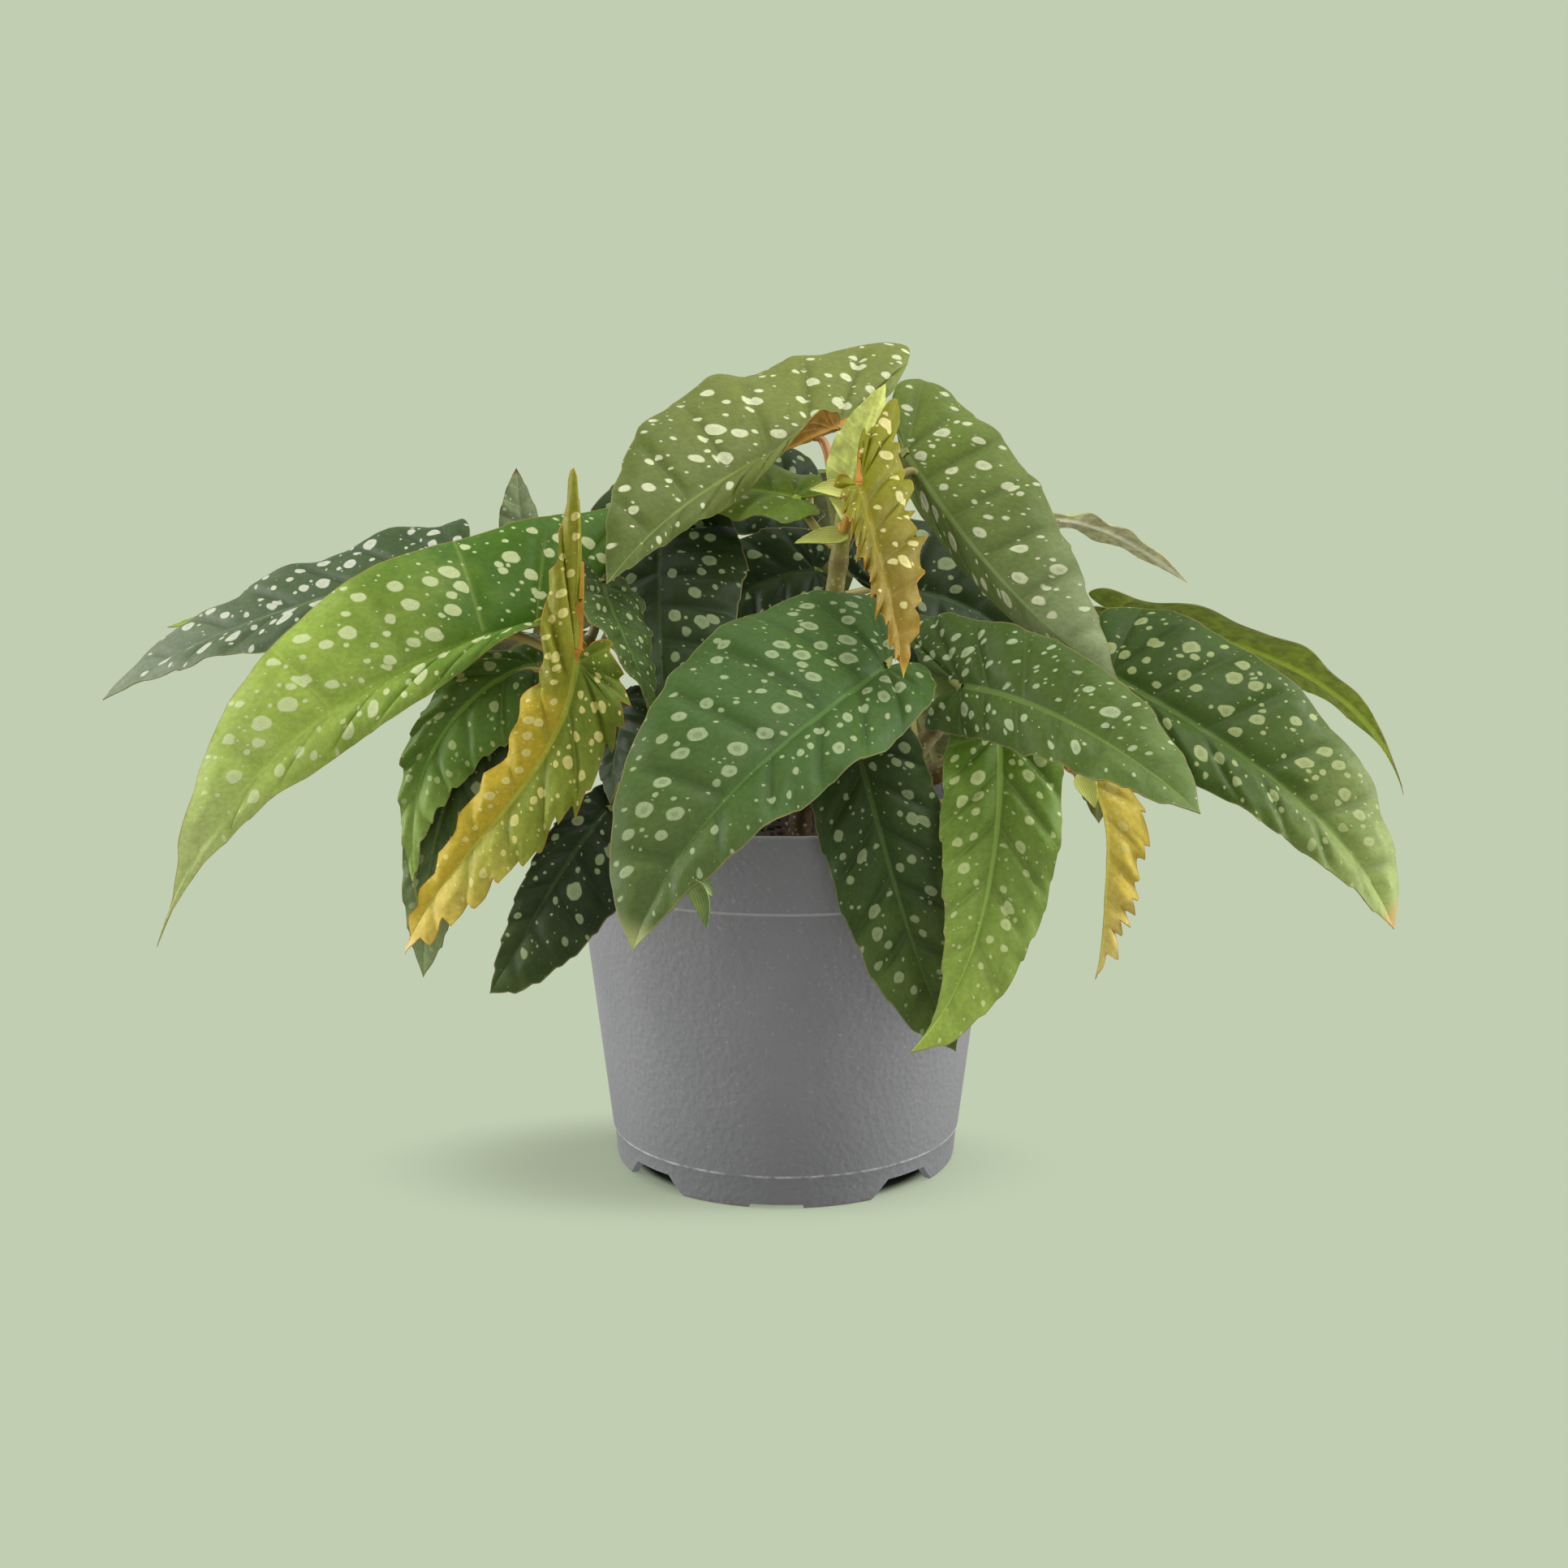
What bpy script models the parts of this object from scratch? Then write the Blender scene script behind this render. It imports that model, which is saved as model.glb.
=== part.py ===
"""A begonia with angel-wing leaves, growing in a plain nursery pot.

The pot stands on z = 0 and the front of the plant faces -y. Places are measured from the
pot's axis, and one empty then moves the whole plant so that the origin is under its middle.
Every leaf is worked out from one line of LEAVES: where its stalk meets the blade, how the
midrib runs on from there, how the blade is turned about the midrib, and how wide it is.
Sizes are in millimetres and angles in degrees, until an object is made.
"""

import math
from dataclasses import dataclass

import bmesh
import bpy
import numpy as np

MM = 0.001
GAP = 0.3

# The origin is under the middle of the whole plant, which leans a little to one side of its pot.
POT_AXIS = (16.6, -1.9)

# The pot: its wall, the band round the rim, and the foot ring with its notches and scallops.
POT_HEIGHT = 103.0
RIM_RADIUS = 60.0
BAND_HEIGHT = 20.4
BAND_STEP = 0.8
FOOT_RADIUS = 49.4
FOOT_HEIGHT = 9.2
FOOT_STEP = 0.4
FOOT_RING_WIDTH = 2.4
WALL = 1.2
RECESS = 5.6
FLOOR_THICKNESS = 1.4
NOTCH_HEIGHT = 5.2
NOTCH_HALF_ANGLES = (8.0, 16.0)
SCALLOP_HEIGHT = 1.2
SCALLOP_HALF_ANGLES = (8.3, 9.3)
POT_TURN = -3.0
DRAIN_RADIUS = 4.5
DRAIN_CIRCLE = 36.0
POT_SIDES = 48

# The soil, which shows a finger's breadth below the rim.
SOIL_TOP = 91.0
SOIL_SIDES = 30
SOIL_RINGS = 4

# Each half blade is a grid of rows from stalk to tip and strips from midrib to margin. FAN is the
# share of the rows that spread from the end of the stalk, round the lobe.
BLADE_THICKNESS = 0.7
STALK_RADIUS = 1.25
BLADE_ROWS = 12
BLADE_STRIPS = 2
FAN = 0.34
TURN_UP_SHARE = 0.6
RIB_STEPS = 60
CANE_STEPS = 15
# Heights at which a cane is still over its foot: its lower end in the soil, and just above the soil.
CANE_UPRIGHT = (75, 90, 100)
STALK_STEPS = 5


@dataclass
class Cane:
    """A stem: where it stands in the soil, the points above that, and its radius at the foot and the top."""

    name: str
    foot: tuple
    path: tuple
    radius: tuple = (3.4, 2.2)


@dataclass
class Leaf:
    """One leaf. Pairs are (start, end) along the midrib, or (left, right) looking to the tip."""

    name: str
    base: tuple
    bearing: tuple
    pitch: tuple
    length: float
    roll: tuple
    width: tuple
    lobe: tuple
    cane: str = ""
    height: float = 0.5
    fold: tuple = (10, 10)
    curl: tuple = (-15, -15)
    turn_up: tuple = (0, 0)
    full: tuple = (0.5, 0.5)
    wave: float = 1.5
    phase: float = 0.0
    tooth: float = 0.02
    bow: tuple = (0, 0, 0)
    ear: tuple = (0.42, 0.42)
    tone: str = "green"
    solver: str = "EXACT"


TONES = {
    "green": (0.045, 0.13, 0.035),
    "bright": (0.13, 0.24, 0.03),
    "dark": (0.02, 0.06, 0.03),
    "young": (0.42, 0.27, 0.03),
    "lime": (0.38, 0.45, 0.08),
}

CANES = [
    Cane("cane_centre", (4, -22), ((7, -26, 125), (13, -33, 165), (16, -36, 192))),
    Cane("cane_left", (-24, -18), ((-34, -28, 120), (-47, -42, 142), (-54, -50, 152))),
    Cane("cane_right", (26, -16), ((38, -24, 112), (58, -36, 128), (70, -38, 138))),
    Cane("cane_back", (4, 24), ((6, 34, 125), (6, 44, 160), (4, 50, 180))),
    Cane("cane_left_back", (-24, 12), ((-40, 18, 118), (-62, 24, 144), (-74, 26, 158))),
    Cane("cane_right_back", (28, 14), ((42, 20, 118), (60, 26, 142), (70, 28, 154))),
]

LEAVES = [
    Leaf("leaf_top_left", (13, -20, 206), (-149, -132), (-19, -27, -44), 84, (-40, -50), (7.5, 30), (2, 38),
         "cane_centre", 0.97, fold=(0, 10), curl=(-30, -20), turn_up=(115, 0), full=(0.6, 0.3),
         ear=(0.3, 0.6), tone="bright"),
    Leaf("leaf_top_right", (32, -22, 199), (-60, -33), (-41, -40, -30), 90, (40, 60), (24, 12), (24, 5),
         "cane_centre", 0.94, fold=(5, -60), curl=(-20, -20)),
    Leaf("leaf_young_centre", (18, -60, 190), (-76, -66), (-45, -55, -75), 54, (0, 0), (11, 5.5), (28, 3),
         "cane_centre", 0.9, ear=(1.3, 0.9), tooth=0.08, tone="young"),
    Leaf("leaf_front_centre", (24, -68, 146), (-122, -160), (-17, -33, -71), 101, (-25, -35), (17, 36),
         (8, 26), "cane_centre", 0.5, fold=(10, 15), curl=(-20, -25), full=(0.6, 0.6)),
    Leaf("leaf_front_right", (44, -62, 141), (-57, -30), (0, -20, -38), 73, (62, 25), (17, 12), (32, 12),
         "cane_right", 0.75, fold=(10, 0), curl=(-10, -20), full=(0.9, 0.9), ear=(1.0, 0.9)),
    Leaf("leaf_hang_dark", (17, -59, 128), (-50, -20), (-66, -70, -62), 82, (42, 72), (16, 15), (8, 8),
         "cane_centre", 0.36, full=(0.8, 1.3), tone="dark"),
    Leaf("leaf_hang_bright", (53, -60, 129), (-88, -152), (-53, -62, -34), 86, (0, -50), (15.5, 14), (6, 5),
         "cane_right", 0.5, full=(0.9, -0.3), ear=(0.42, 0.6), bow=(4, 0, -9), tone="bright"),
    Leaf("leaf_young_right", (74, -45, 118), (-16, -200), (-29, -83, -76), 58, (74, -110), (11, 8), (6, 4),
         "cane_right", 0.86, fold=(0, -100), full=(0.3, -0.2), tooth=0.06, tone="young", solver="MANIFOLD"),
    Leaf("leaf_right", (86, -29, 141), (-38, 18), (-24, -38, -63), 104, (40, 65), (28, 15), (14, 5),
         "cane_right", 0.96, full=(0.8, 0.8), ear=(0.6, 0.6)),
    Leaf("leaf_far_right", (93, 0, 157), (-14, -5), (-15, -26, -76), 100, (-25, -35), (15, 13), (8, 8),
         "cane_right_back", 0.92, full=(-0.4, -0.4), tone="dark"),
    Leaf("leaf_back_right", (79, 40, 183), (45, 25), (2, -19, -32), 69, (-10, -10), (10, 6), (6, 6),
         "cane_right_back", 0.97),
    Leaf("leaf_left_bright", (-65, -40, 155), (-154, -171), (-10, -38, -72), 130, (-60, -65),
         (12, 29), (4, 34), "cane_left", 0.93, fold=(0, 10), curl=(-40, -25), turn_up=(80, 0),
         full=(-0.2, -0.45), ear=(0.4, 1.0), tone="bright"),
    Leaf("leaf_young_left", (-50, -76, 148), (-170, -190), (-84, -50, -68), 85, (-80, -75), (13.5, 9.5),
         (6, 42), "cane_left", 0.98, full=(0.9, 0.4), tooth=0.07, tone="young"),
    Leaf("leaf_back_left", (-95, 10, 171), (168, 174), (-17, -18, -35), 120, (-35, -35), (20, 24), (10, 4),
         "cane_left_back", 0.96, tone="dark"),
    Leaf("leaf_tip_left", (-142, 45, 156), (145, 166), (13, -11, -10), 66, (-30, -30), (8, 8), (6, 6),
         "cane_left_back", 0.88, tone="bright", solver="MANIFOLD"),
    Leaf("leaf_upright", (-76, 30, 168), (-140, -96), (80, 76, 87), 30, (-142, -142), (8, 6), (4, 4),
         "cane_left_back", 0.985, tone="dark", solver="MANIFOLD"),
    Leaf("leaf_under_left", (-66, -34, 144), (-131, -210), (-5, -65, -100), 80, (-40, -95), (15, 9), (8, 8),
         "cane_left", 0.83, full=(-0.5, -0.3), tone="bright"),
    Leaf("leaf_hang_left", (-73, -40, 135), (-136, -239), (-42, -74, -84), 79, (-46, -140), (13, 10), (8, 8),
         "cane_left", 0.7, full=(0.8, 0.6), tone="dark"),
    Leaf("leaf_low_left", (-44, -68, 111), (-119, -195), (-27, -57, -55), 55, (-30, -90), (17, 8), (8, 8),
         "cane_left", 0.5, full=(0.9, 0.5), tone="dark"),
    Leaf("leaf_inner_dark", (-34, -16, 178), (-89, -80), (-39, -47, -82), 62, (0, 0), (23, 12), (16, 10),
         "cane_left", 0.9, full=(0.7, 0.7), tone="dark"),
    Leaf("leaf_edge", (-47, -46, 166), (-73, -26), (-36, -52, -77), 46, (-25, -25), (12, 13), (6, 6),
         "cane_left", 0.96, tone="dark", solver="MANIFOLD"),
    Leaf("leaf_lower_inner", (-41, -60, 137), (-86, -127), (-48, -66, -89), 27, (20, 20), (8, 8), (4, 4),
         "cane_left", 0.78, tone="dark", solver="MANIFOLD"),
    Leaf("leaf_bud", (17, -42, 191), (50, 50), (66, 62, 60), 29, (-130, -130), (5, 8), (2, 3),
         "cane_centre", 0.96, fold=(30, 20), curl=(-10, -10), tone="lime", solver="MANIFOLD"),
    Leaf("leaf_inner_olive", (2, -18, 188), (160, 178), (12, -4, -16), 54, (-30, -30), (15, 13), (10, 8),
         "cane_centre", 0.86, tone="bright"),
    Leaf("leaf_inner_back", (0, 26, 190), (185, 200), (10, -15, -40), 66, (-50, -50), (17, 19), (12, 10),
         "cane_back", 0.9, tone="dark"),
    Leaf("leaf_inner_mid", (8, 2, 168), (178, 195), (-5, -35, -50), 60, (-65, -65), (18, 15), (8, 6),
         "cane_back", 0.8, tone="dark"),
    Leaf("leaf_inner_right", (28, 4, 162), (5, -10), (5, -30, -50), 58, (60, 60), (24, 24), (10, 10),
         "cane_back", 0.66, tone="dark"),
    Leaf("leaf_back_top", (6, 58, 196), (70, 95), (5, -35, -70), 88, (0, 0), (22, 18), (14, 12),
         "cane_back", 0.97, tone="bright"),
    Leaf("leaf_back_lean_left", (-30, 62, 168), (130, 165), (0, -30, -65), 96, (5, 5), (20, 22), (12, 14),
         "cane_back", 0.74, tone="green"),
    Leaf("leaf_back_lean_right", (44, 60, 166), (50, 20), (0, -32, -68), 98, (0, 0), (22, 18), (12, 12),
         "cane_back", 0.8, tone="green"),
    Leaf("leaf_back_low", (8, 66, 136), (95, 70), (-10, -45, -80), 80, (0, 0), (18, 20), (10, 12),
         "cane_back", 0.5, tone="dark"),
    Leaf("leaf_back_side_left", (-76, 52, 146), (120, 150), (0, -40, -75), 84, (0, 0), (18, 16), (10, 12),
         "cane_left_back", 0.72, tone="dark"),
    Leaf("leaf_back_side_right", (80, 52, 142), (60, 30), (-5, -42, -78), 80, (0, 0), (16, 18), (10, 10),
         "cane_right_back", 0.74, tone="bright"),
    Leaf("leaf_back_hang_left", (-34, 66, 128), (110, 150), (-10, -60, -82), 78, (0, 10), (18, 15), (10, 8),
         "cane_left_back", 0.5, tone="green"),
    Leaf("leaf_back_hang_right", (42, 66, 122), (80, 40), (-10, -58, -80), 74, (0, -10), (15, 18), (8, 10),
         "cane_right_back", 0.5, tone="green"),
    Leaf("leaf_side_right", (82, 30, 130), (48, 80), (-8, -50, -72), 66, (10, 10), (17, 14), (10, 8),
         "cane_right_back", 0.64, tone="green"),
    Leaf("leaf_side_left", (-84, 22, 136), (138, 112), (-10, -48, -72), 70, (-10, -20), (15, 18), (8, 10),
         "cane_left_back", 0.6, tone="green"),
]


def smooth_path(knots, count):
    """count + 1 points, evenly spaced along a smooth curve through the knots."""
    knots = np.asarray(knots, float)
    knots = np.vstack([2 * knots[0] - knots[1], knots, 2 * knots[-1] - knots[-2]])
    t = np.linspace(0, 1, 16, endpoint=False)[:, None]
    points = []
    for before, start, end, after in zip(knots, knots[1:], knots[2:], knots[3:]):
        bend = 2 * before - 5 * start + 4 * end - after
        twist = 3 * start - before - 3 * end + after
        points.append(0.5 * (2 * start + (end - before) * t + bend * t**2 + twist * t**3))
    points = np.vstack(points + [knots[-2:-1]])
    run = np.r_[0, np.cumsum(np.linalg.norm(np.diff(points, axis=0), axis=1))]
    at = np.linspace(0, run[-1], count + 1)
    return np.stack([np.interp(at, run, column) for column in points.T], -1)


def along(values, s):
    """A value that runs evenly from the first to the last, by way of a middle one if there are three."""
    if len(values) == 2:
        return values[0] + (values[1] - values[0]) * s
    start, middle, end = values
    return start * (1 - s) * (1 - 2 * s) + 4 * middle * s * (1 - s) + end * s * (2 * s - 1)


def directions(leaf, s):
    """Along the midrib, to the leaf's left, and out of its upper face, at each s from 0 to 1."""
    bearing = np.radians(along(leaf.bearing, s))
    pitch = np.radians(along(leaf.pitch, s))
    roll = np.radians(along(leaf.roll, s))[:, None]
    level = np.cos(pitch)
    forward = np.stack([np.cos(bearing) * level, np.sin(bearing) * level, np.sin(pitch)], -1)
    flat_left = np.stack([-np.sin(bearing), np.cos(bearing), 0 * s], -1)
    flat_up = np.cross(forward, flat_left)
    left = flat_left * np.cos(roll) + flat_up * np.sin(roll)
    up = flat_up * np.cos(roll) - flat_left * np.sin(roll)
    return forward, left, up


def midrib(leaf):
    """Points down the midrib, with the three directions at each."""
    middles = (np.arange(RIB_STEPS) + 0.5) / RIB_STEPS
    steps = directions(leaf, middles)[0] * leaf.length / RIB_STEPS
    points = np.vstack([np.zeros(3), np.cumsum(steps, axis=0)]) + np.array(leaf.base, float)
    return points, directions(leaf, np.linspace(0, 1, RIB_STEPS + 1))


def flat_margin(leaf, side, rows):
    """The edge of one half of the flattened leaf, from the stalk round the lobe to the tip."""
    length, width, lobe, full = leaf.length, leaf.width[side], leaf.lobe[side], leaf.full[side]
    knots = [
        (0, 0),
        (-0.62 * lobe, 0.28 * leaf.ear[side] * width),
        (-lobe, leaf.ear[side] * width),
        (-0.62 * lobe + 0.02 * length, (0.57 + 0.5 * leaf.ear[side]) * width),
        (0.10 * length, (0.93 + 0.1 * leaf.ear[side]) * width),
        (0.28 * length, width),
        (0.50 * length, (0.80 + 0.12 * full) * width),
        (0.72 * length, (0.46 + 0.26 * full) * width),
        (0.89 * length, (0.15 + 0.26 * full) * width),
        (length, 0),
    ]
    return smooth_path(knots, rows)


def half_blade(leaf, side, rows, strips):
    """Points of one half, by row from stalk to tip and by strip from midrib to margin."""
    length, width, lobe = leaf.length, leaf.width[side], leaf.lobe[side]
    margin = flat_margin(leaf, side, rows)
    u = np.linspace(0, 1, rows + 1)
    root = np.clip((u - FAN) / (1 - FAN), 0, 1) ** 1.12
    root = np.stack([root * length, 0 * root], -1)
    teeth = np.where(np.arange(rows + 1) % 2, 1 + leaf.tooth, 1 - leaf.tooth)
    margin = root + (margin - root) * teeth[:, None]
    v = np.linspace(0, 1, strips + 1)[None, :, None]
    flat = root[:, None] + (margin - root)[:, None] * v
    x, y = flat[..., 0], flat[..., 1]
    # The half leaves the midrib at its fold angle and curls by its curl angle on the way to the margin.
    # Its first half may be turned up further.
    near = np.clip(1 - x / (TURN_UP_SHARE * length), 0, 1)
    fold = np.radians(leaf.fold[side] + leaf.turn_up[side] * near**2 * (3 - 2 * near))
    curl = math.radians(leaf.curl[side]) / width
    out = (np.sin(fold + curl * y) - np.sin(fold)) / curl
    rise = (np.cos(fold) - np.cos(fold + curl * y)) / curl
    ripple = 2 * math.pi * (3.5 * x / length + leaf.phase + 0.5 * side)
    rise += leaf.wave * length / 100 * (y / width) ** 2 * np.sin(ripple)
    points, (forward, left, up) = midrib(leaf)
    s = np.linspace(0, 1, RIB_STEPS + 1)
    here = np.clip(x / length, 0, 1)

    def at(values):
        return np.stack([np.interp(here, s, column) for column in values.T], -1)

    sign = 1 if side == 0 else -1
    behind = np.minimum(x, 0)[..., None]
    return (
        at(points) + at(forward) * behind + at(left) * (sign * out)[..., None] + at(up) * rise[..., None]
    )


def clear_scene():
    for obj in list(bpy.data.objects):
        bpy.data.objects.remove(obj, do_unlink=True)


def new_collection(name):
    collection = bpy.data.collections.new(name)
    bpy.context.scene.collection.children.link(collection)
    return collection


def new_material(name, colour, roughness, metallic=0.0):
    material = bpy.data.materials.new(name)
    material.use_nodes = True
    shader = material.node_tree.nodes["Principled BSDF"]
    shader.inputs["Base Color"].default_value = (*colour, 1)
    shader.inputs["Roughness"].default_value = roughness
    shader.inputs["Metallic"].default_value = metallic
    return material


def add_mesh(name, mesh, collection, material=None):
    obj = bpy.data.objects.new(name, mesh)
    collection.objects.link(obj)
    if material:
        mesh.materials.append(material)
    return obj


def hide(obj):
    obj.hide_render = True
    obj.display_type = "WIRE"


def add_modifier(obj, kind, name, **settings):
    modifier = obj.modifiers.new(name, kind)
    for key, value in settings.items():
        setattr(modifier, key, value)
    return modifier


def polar(radius, degrees, z):
    angle = math.radians(degrees)
    return radius * math.sin(angle), -radius * math.cos(angle), z


def turned(name, profile, collection, material):
    """A solid turned about the z axis from a closed profile of (radius, z), down its outer side first."""
    mesh = bpy.data.meshes.new(name)
    points = [(r * MM, 0, z * MM) for r, z in profile]
    edges = [(i, (i + 1) % len(points)) for i in range(len(points))]
    mesh.from_pydata(points, edges, [])
    obj = add_mesh(name, mesh, collection, material)
    add_modifier(
        obj, "SCREW", "Turn", steps=POT_SIDES, render_steps=POT_SIDES, merge_threshold=1e-6,
        use_merge_vertices=True, use_normal_calculate=True, use_smooth_shade=True,
    )
    return obj


def wedge_cutter(name, angle, half_angles, top, collection):
    """A block that cuts one notch through the foot ring. Its half angles are those at its top and foot."""
    inner, outer, below = FOOT_RADIUS - 9, FOOT_RADIUS + 4, -2.0
    made = bmesh.new()
    bmesh.ops.create_cube(made, size=1)
    for vert in made.verts:
        upper = vert.co.z > 0
        half = half_angles[0] if upper else half_angles[1]
        turn = angle + (half if vert.co.x > 0 else -half)
        radius = outer if vert.co.y < 0 else inner
        x, y, z = polar(radius, turn, top if upper else below)
        vert.co = (x * MM, y * MM, z * MM)
    mesh = bpy.data.meshes.new(name)
    made.to_mesh(mesh)
    made.free()
    obj = add_mesh(name, mesh, collection)
    hide(obj)
    return obj


def rod_cutter(name, x, y, low, high, radius, collection, sides=20):
    made = bmesh.new()
    bmesh.ops.create_cone(
        made, cap_ends=True, segments=sides, radius1=radius * MM, radius2=radius * MM, depth=(high - low) * MM
    )
    mesh = bpy.data.meshes.new(name)
    made.to_mesh(mesh)
    made.free()
    obj = add_mesh(name, mesh, collection)
    obj.location = (x * MM, y * MM, (low + high) / 2 * MM)
    hide(obj)
    return obj


def cut(obj, cutters):
    for cutter in cutters:
        add_modifier(obj, "BOOLEAN", cutter.name, operation="DIFFERENCE", object=cutter)


def make_pot(parts, cutters, plastic):
    band_foot = POT_HEIGHT - BAND_HEIGHT
    body_top = RIM_RADIUS - BAND_STEP
    foot_top = FOOT_RADIUS + 0.7
    floor_top = RECESS + FLOOR_THICKNESS
    floor_radius = foot_top - WALL
    profile = [
        (RIM_RADIUS - 0.35, POT_HEIGHT),
        (RIM_RADIUS, POT_HEIGHT - 0.4),
        (RIM_RADIUS, band_foot),
        (body_top, band_foot - 0.5),
        (foot_top + FOOT_STEP, FOOT_HEIGHT),
        (foot_top, FOOT_HEIGHT - 0.3),
        (FOOT_RADIUS, 1.0),
        (FOOT_RADIUS - 0.8, 0),
        (FOOT_RADIUS - FOOT_RING_WIDTH, 0),
        (FOOT_RADIUS - FOOT_RING_WIDTH, RECESS),
        (0, RECESS),
        (0, floor_top),
        (floor_radius, floor_top),
        (body_top - WALL, band_foot - 0.5),
        (RIM_RADIUS - WALL, band_foot + 0.6),
        (RIM_RADIUS - WALL, POT_HEIGHT - 0.4),
        (RIM_RADIUS - WALL + 0.35, POT_HEIGHT),
    ]
    pot = turned("pot", profile, parts, plastic)
    tools = []
    for k in range(4):
        angle = POT_TURN + 45 + 90 * k
        tools.append(wedge_cutter(f"notch_{k + 1}", angle, NOTCH_HALF_ANGLES, NOTCH_HEIGHT, cutters))
        tools.append(
            wedge_cutter(f"scallop_{k + 1}", angle - 45, SCALLOP_HALF_ANGLES, SCALLOP_HEIGHT, cutters)
        )
        for name, turn in (("drain", angle), ("drain_side", angle - 45)):
            x, y, _ = polar(DRAIN_CIRCLE, turn, 0)
            tools.append(
                rod_cutter(f"{name}_{k + 1}", x, y, RECESS - 1, floor_top + 1, DRAIN_RADIUS, cutters, 10)
            )
    tools.append(rod_cutter("drain_middle", 0, 0, RECESS - 1, floor_top + 1, DRAIN_RADIUS, cutters, 10))
    cut(pot, tools)
    return pot


def wall_inside(z):
    """The pot's inner radius at height z."""
    floor_radius = FOOT_RADIUS + 0.7 - WALL
    top_radius = RIM_RADIUS - BAND_STEP - WALL
    low, high = RECESS + FLOOR_THICKNESS, POT_HEIGHT - BAND_HEIGHT - 0.5
    return floor_radius + (top_radius - floor_radius) * (z - low) / (high - low)


def soil_height(x, y):
    """The uneven top of the soil, a little lower against the wall."""
    lumps = 1.1 * math.sin(0.13 * x + 1.0) * math.cos(0.11 * y - 0.6) + 0.7 * math.sin(0.23 * x - 0.19 * y)
    return SOIL_TOP + lumps - 1.5 * (math.hypot(x, y) / RIM_RADIUS) ** 4


def make_soil(parts, cutters, material):
    made = bmesh.new()
    low = RECESS + FLOOR_THICKNESS + GAP
    rings = []
    band_foot = POT_HEIGHT - BAND_HEIGHT - 0.5
    for z in (low, band_foot):
        radius = wall_inside(z) - GAP
        rings.append([polar(radius, 360 * k / SOIL_SIDES, z) for k in range(SOIL_SIDES)])
    edge = RIM_RADIUS - WALL - GAP - 0.2
    for ring in range(SOIL_RINGS):
        radius = edge * (1 - ring / SOIL_RINGS)
        points = [polar(radius, 360 * k / SOIL_SIDES, 0) for k in range(SOIL_SIDES)]
        rings.append([(x, y, soil_height(x, y)) for x, y, _ in points])
    rows = [[made.verts.new([c * MM for c in point]) for point in ring] for ring in rings]
    for lower, upper in zip(rows, rows[1:]):
        for k in range(SOIL_SIDES):
            after = (k + 1) % SOIL_SIDES
            made.faces.new((lower[k], lower[after], upper[after], upper[k]))
    centre = made.verts.new((0, 0, soil_height(0, 0) * MM))
    for k in range(SOIL_SIDES):
        made.faces.new((rows[-1][k], rows[-1][(k + 1) % SOIL_SIDES], centre))
    made.faces.new(list(reversed(rows[0])))
    bmesh.ops.recalc_face_normals(made, faces=made.faces)
    bmesh.ops.triangulate(made, faces=made.faces)
    mesh = bpy.data.meshes.new("soil")
    made.to_mesh(mesh)
    made.free()
    soil = add_mesh("soil", mesh, parts, material)
    holes = []
    for cane in CANES:
        radius = (cane.radius[0] * 1.12 + GAP) / math.cos(math.pi / 16)
        low = CANE_UPRIGHT[0] - GAP
        holes.append(rod_cutter("hole_" + cane.name, *cane.foot, low, SOIL_TOP + 8, radius, cutters, 16))
    cut(soil, holes)
    return soil


def tube_curve(name, points, radii, collection, sides_setting):
    curve = bpy.data.curves.new(name, "CURVE")
    curve.dimensions = "3D"
    curve.bevel_depth = MM
    curve.bevel_resolution = sides_setting
    curve.use_fill_caps = True
    spline = curve.splines.new("POLY")
    spline.points.add(len(points) - 1)
    for point, place, radius in zip(spline.points, points, radii):
        point.co = (*[c * MM for c in place], 1)
        point.radius = radius
    obj = bpy.data.objects.new(name, curve)
    collection.objects.link(obj)
    return obj


def curve_to_mesh(obj):
    """Replaces a curve object by a welded mesh of it, and returns the new object."""
    bpy.context.view_layer.update()
    graph = bpy.context.evaluated_depsgraph_get()
    mesh = bpy.data.meshes.new_from_object(obj.evaluated_get(graph))
    welded = bmesh.new()
    welded.from_mesh(mesh)
    bmesh.ops.remove_doubles(welded, verts=welded.verts, dist=1e-6)
    bmesh.ops.recalc_face_normals(welded, faces=welded.faces)
    bmesh.ops.triangulate(welded, faces=welded.faces)
    welded.to_mesh(mesh)
    welded.free()
    made = bpy.data.objects.new(obj.name, mesh)
    made.matrix_world = obj.matrix_world
    for collection in obj.users_collection:
        collection.objects.link(made)
    name = obj.name
    bpy.data.objects.remove(obj, do_unlink=True)
    made.name = name
    return made


def cane_line(cane):
    """The cane's points and radii: it stands upright in the soil, then follows its path."""
    upright = [(*cane.foot, z) for z in CANE_UPRIGHT]
    points = smooth_path([*upright, *cane.path], CANE_STEPS)
    share = np.linspace(0, 1, CANE_STEPS + 1)
    radii = cane.radius[0] + (cane.radius[1] - cane.radius[0]) * share
    radii[1::3] *= 1.12
    return points, radii


def make_cane(cane, parts, material):
    points, radii = cane_line(cane)
    obj = tube_curve(cane.name, points, radii, parts, 1)
    obj.data.materials.append(material)
    return obj


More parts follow.
